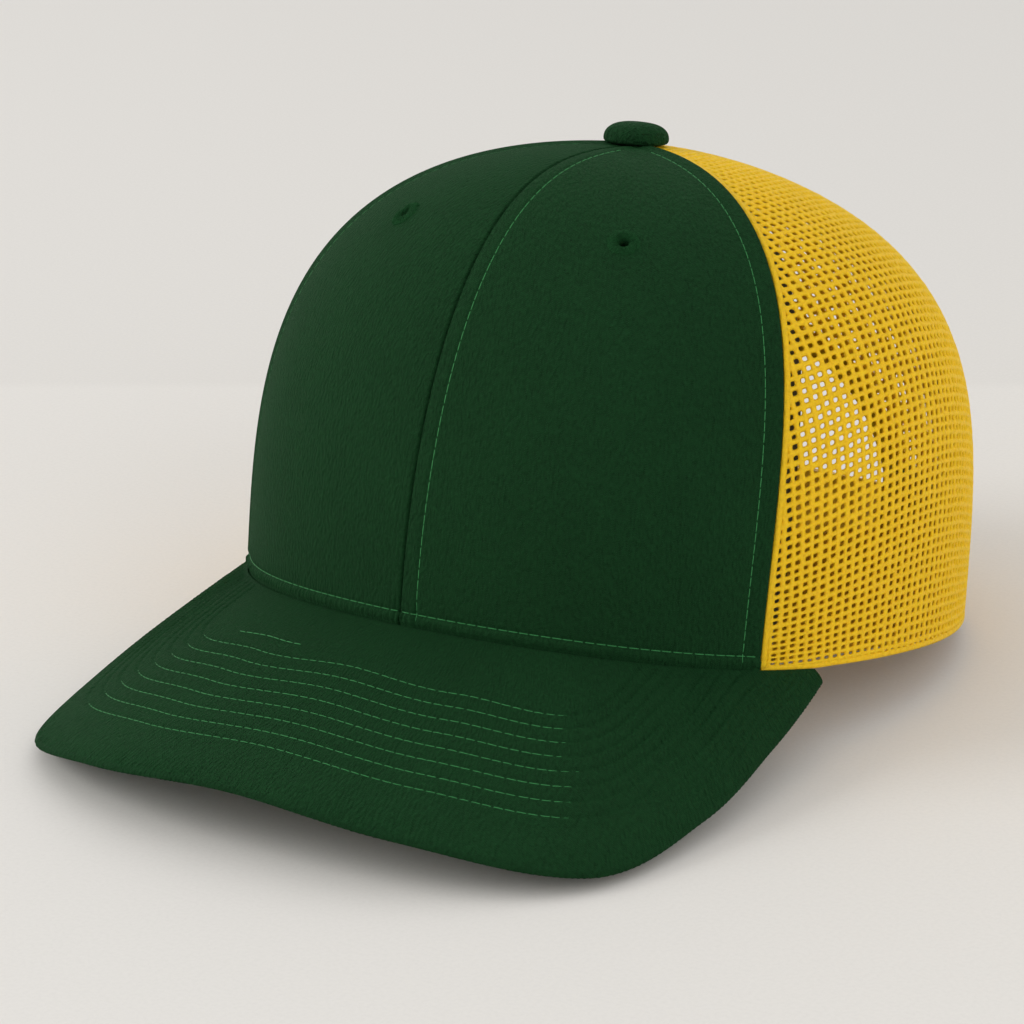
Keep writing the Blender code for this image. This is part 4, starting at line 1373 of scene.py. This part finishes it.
def strap_body(inward):
    """Flat strap with rounded long edges and a rounded tip; also the place of its straight part."""
    path = strap_path(inward)
    along = unit(np.gradient(path, axis=0))
    outwards = np.stack((along[:, 1], -along[:, 0], np.zeros(len(path))), -1)
    reach = STRAP_THICKNESS / 2 - STRAP_CORNER
    short = np.clip(STRAP_TIP_RADIUS - path[:, 0] - STRAP_END, 0.0, None)
    shrink = STRAP_TIP_RADIUS - np.sqrt(np.clip(STRAP_TIP_RADIUS**2 - short**2, 0, None))
    sewn = TAB_END_X - path[:, 0]
    shrink = np.maximum(shrink, STRAP_SEWN_SHRINK * np.clip(1 - sewn / 0.002, 0, 1))
    swings = np.linspace(0, math.pi / 2, 5)
    rings = []
    for place, out, narrow in zip(path, outwards, shrink):
        low = STRAP_BOTTOM + narrow + STRAP_CORNER
        high = STRAP_TOP - narrow - STRAP_CORNER
        ring = []
        for quarter, (across, up) in enumerate(((reach, high), (-reach, high), (-reach, low), (reach, low))):
            for swing in swings + quarter * math.pi / 2:
                outward = across + STRAP_CORNER * math.cos(swing)
                ring.append(place + out * outward + np.array((0, 0, up + STRAP_CORNER * math.sin(swing))))
        rings.append(ring)
    return np.array(rings), path[-1][1]


def turned(profile, centre, axis_y, steps=24):
    """Body of revolution round a line along Y through centre; profile is (radius, y)."""
    turn = full_turn(steps)
    rings = [
        stacked(centre[0] + radius * np.cos(turn), axis_y + y, centre[1] + radius * np.sin(turn))
        for radius, y in profile
    ]
    return ring_loft(np.array(rings))


def boolean(piece, points, faces, operation):
    tool = add_piece(piece.name + "_tool", points, faces, MATERIALS["snap"])
    modifier = piece.modifiers.new("shape", "BOOLEAN")
    modifier.operation = operation
    modifier.object = tool
    bpy.context.view_layer.update()
    evaluated = piece.evaluated_get(bpy.context.evaluated_depsgraph_get())
    mesh = bpy.data.meshes.new_from_object(evaluated)
    piece.modifiers.clear()
    old = piece.data
    piece.data = mesh
    bpy.data.meshes.remove(old)
    bpy.data.objects.remove(tool, do_unlink=True)
    mesh.shade_smooth()
    mesh.set_sharp_from_angle(angle=math.radians(40))


def snap_shapes(body, line):
    """Cutters for the holes of one strap, or the pegs of the other; line is the strap's own y."""
    middle = (STRAP_BOTTOM + STRAP_TOP) / 2
    tip = STRAP_GAP + STRAP_THICKNESS + PEG_PROUD
    neck = PEG_RADIUS * 0.86
    peg = (
        (PEG_RADIUS, -0.0006), (PEG_RADIUS, 0.0), (neck, 0.0004), (neck, tip - 0.0014),
        (PEG_RADIUS, tip - 0.0008), (PEG_RADIUS * 0.97, tip - 0.0004),
        (PEG_RADIUS * 0.7, tip - 0.0001), (PEG_RADIUS * 0.35, tip),
    )
    hole = ((HOLE_RADIUS, -0.004), (HOLE_RADIUS, 0.004))
    parts = []
    for k in range(SNAP_COUNT):
        x = (k - SNAP_COUNT / 2) * SNAP_PITCH
        if body == "hole_strap":
            parts.append(turned(hole, (x, middle), line))
        else:
            parts.append(turned(peg, (x + SNAP_PITCH, middle), line + STRAP_THICKNESS / 2))
    return merge(parts)


def tab_stitches(label, side):
    xs = np.linspace(TAB_END_X - 0.003, STRAP_ROOT_X + 0.006, 60)
    normal = np.array([crown_normal(math.acos(x / HALF_WIDTH), 0.12) for x in xs])
    rows = []
    for height in (STRAP_TOP - 0.003, STRAP_BOTTOM + 0.003):
        rows.append((np.array([tab_point(float(x), 0.0, height) for x in xs]), normal))
    sewing(f"tab_stitches_{label}", rows, side, "yellow_thread")


def closure():
    for body, label, side, inward, operation in (
        ("hole_strap", "right", -1, 0.0, "DIFFERENCE"),
        ("peg_strap", "left", 1, STRAP_THICKNESS + STRAP_GAP, "UNION"),
    ):
        rings, line = strap_body(inward)
        points, faces = ring_loft(flip_x(rings, side))
        piece = add_piece(f"{body}_moulded", points, faces, MATERIALS["snap"])
        boolean(piece, *snap_shapes(body, line), operation)
        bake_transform(piece)
        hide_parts(body, f"{body}_tab")
        tab_stitches(label, side)


# ---- button and eyelets

def button():
    """Cloth-covered dome, gathered under its rim, with a hollow for the metal core."""
    turn = full_turn(128)
    under = [
        (BUTTON_RADIUS * 0.86, BUTTON_LIFT),
        (BUTTON_RADIUS * 0.95, BUTTON_LIFT + 0.0003),
        (BUTTON_RADIUS * 0.99, BUTTON_LIFT + 0.0007),
    ]
    dome = []
    for swing in np.linspace(0.0, math.pi / 2, 26):
        radius = BUTTON_RADIUS * math.cos(swing) ** BUTTON_FULLNESS[0]
        rise = (BUTTON_HEIGHT - BUTTON_SKIRT) * math.sin(swing) ** BUTTON_FULLNESS[1]
        dome.append((max(radius, 0.00002), BUTTON_LIFT + BUTTON_SKIRT + rise))
    hollow = [
        (0.0075 * math.cos(swing), 0.0009 + 0.0038 * math.sin(swing))
        for swing in np.linspace(math.pi / 2 - 0.02, 0.0, 10)
    ]
    gather = 0.0001 * np.cos(turn * 17 + 0.9 * np.sin(turn * 3)) + 0.00006 * np.cos(turn * 29)
    wave = 0.0001 * np.cos(turn * 2 + 0.7)
    rings = []
    for k, (radius, height) in enumerate(under + dome + hollow):
        share = radius / BUTTON_RADIUS
        gathered = k < len(under) + len(dome)
        waved = gathered and k >= len(under)
        grown = radius + gather * share**4 * gathered
        rise = height + CROWN_HEIGHT + wave * share * waved
        rings.append(stacked(grown * np.cos(turn), grown * np.sin(turn), rise))
    points, faces = ring_loft(np.array(rings), True)
    crown_piece("button_cloth", points, faces, "button", ("button_cover",))


def eyelet(label, side):
    """Worked eyelet: buttonhole stitches side by side round the hole."""
    place, normal = eyelet_place()
    along = unit(np.cross(normal, (0.0, 0.0, 1.0)))
    upward = np.cross(along, normal)
    turn = full_turn(EYELET_THREADS * EYELET_THREAD_STEPS)
    profile = (
        (EYELET_HOLE, -EYELET_DEPTH), (EYELET_HOLE - 0.0001, -0.0008), (EYELET_HOLE + 0.0001, 0.0),
        (EYELET_HOLE + 0.0006, 0.0005), (EYELET_HOLE + 0.0012, 0.0006),
        (EYELET_RADIUS - 0.0013, 0.00045), (EYELET_RADIUS - 0.0006, 0.00012),
        (EYELET_RADIUS - 0.0003, -0.0002), (EYELET_RADIUS - 0.0008, -0.0006),
        (EYELET_HOLE + 0.0008, -0.0007), (EYELET_HOLE + 0.0006, -EYELET_DEPTH),
    )
    uneven = np.random.default_rng(7).normal(0.0, 1.0, EYELET_THREADS)
    ragged = 0.00012 * np.repeat(uneven, EYELET_THREAD_STEPS)
    threads = 0.00009 * np.cos(turn * EYELET_THREADS)
    rings = []
    for k, (radius, height) in enumerate(profile):
        reach = radius + ragged * (5 <= k <= 7)
        offset = along * (reach * np.cos(turn))[:, None] + upward * (reach * np.sin(turn))[:, None]
        rings.append(place + offset + normal * (height + threads * (2 <= k <= 6))[:, None])
    points, faces = ring_loft(np.array(rings), True)
    crown_piece(
        f"eyelet_thread_{label}", flip_x(points, side), faces, "eyelet_thread",
        (f"eyelet_{label}",),
    )


# ---- the scene

def build_side(label, side):
    front_panel(label, side)
    buckram_sheet(label, side)
    surface = netting(f"net_side_{label}", FRONT_SEAM, BACK_SEAM, side, 11, f"mesh_side_{label}")
    lines = (("base", 0.0008, 0.0), (-1.0, 0.0009, 0.0), (1.0, 0.0006, 0.0))
    hems(f"net_side_hem_{label}", surface, side, lines)
    surface = netting(f"net_back_{label}", BACK_SEAM, BACK, side, 12, f"mesh_back_{label}", True)
    crest = level_at_height(math.pi / 2, ARCH_HEIGHT + BINDING_LEG / 2)
    arch_top = float(np.interp(crest, surface.level, surface.height))
    hems(f"net_back_hem_{label}", surface, side, ((-1.0, 0.0006, 0.0), (1.0, 0.0006, arch_top)))
    eyelet(label, side)
    seam_strip(f"front_side_{label}", FRONT_SEAM, side)
    seam_strip(f"back_side_{label}", BACK_SEAM, side)


def build_cap():
    build_side("left", 1)
    build_side("right", -1)
    seam_strip("front", FRONT, 1)
    seam_strip("back", BACK, 1)
    visor_top()
    visor_under()
    visor_core()
    visor_stitches()
    sweatband()
    foam_pad()
    arch_binding()
    closure()
    button()


def carry_over():
    for name in ("button_core", "button_back_plate"):
        mesh = frame["nodes"][name].data
        mesh.materials.clear()
        mesh.materials.append(MATERIALS["metal"])


def add_light(name, place, aim, width, watts, colour):
    light = bpy.data.lights.new(name, "AREA")
    light.shape = "DISK"
    light.size = width
    light.energy = watts
    light.color = colour
    lamp = bpy.data.objects.new(name, light)
    lamp.location = place
    lamp.rotation_euler = (Vector(aim) - Vector(place)).to_track_quat("-Z", "Y").to_euler()
    bpy.context.scene.collection.objects.link(lamp)


def add_stage():
    bpy.ops.mesh.primitive_plane_add(size=FLOOR_SIZE, location=(0.0, 0.0, 0.0))
    floor = bpy.context.object
    floor.name = "floor"
    floor.data.materials.append(floor_material())
    world = bpy.data.worlds.new("studio")
    world.use_nodes = True
    sky = world.node_tree.nodes["Background"]
    sky.inputs["Color"].default_value = SKY_COLOUR
    sky.inputs["Strength"].default_value = SKY_STRENGTH
    bpy.context.scene.world = world
    for light in LIGHTS:
        add_light(*light)


def add_camera():
    data = bpy.data.cameras.new("view")
    data.lens = CAMERA_LENS
    data.sensor_width = CAMERA_SENSOR
    camera = bpy.data.objects.new("view", data)
    camera.location = CAMERA_PLACE
    camera.rotation_euler = [math.radians(turn) for turn in CAMERA_TURN]
    bpy.context.scene.collection.objects.link(camera)
    bpy.context.scene.camera = camera
    bpy.context.scene.view_settings.view_transform = "Standard"


build_cap()
carry_over()
add_stage()
add_camera()
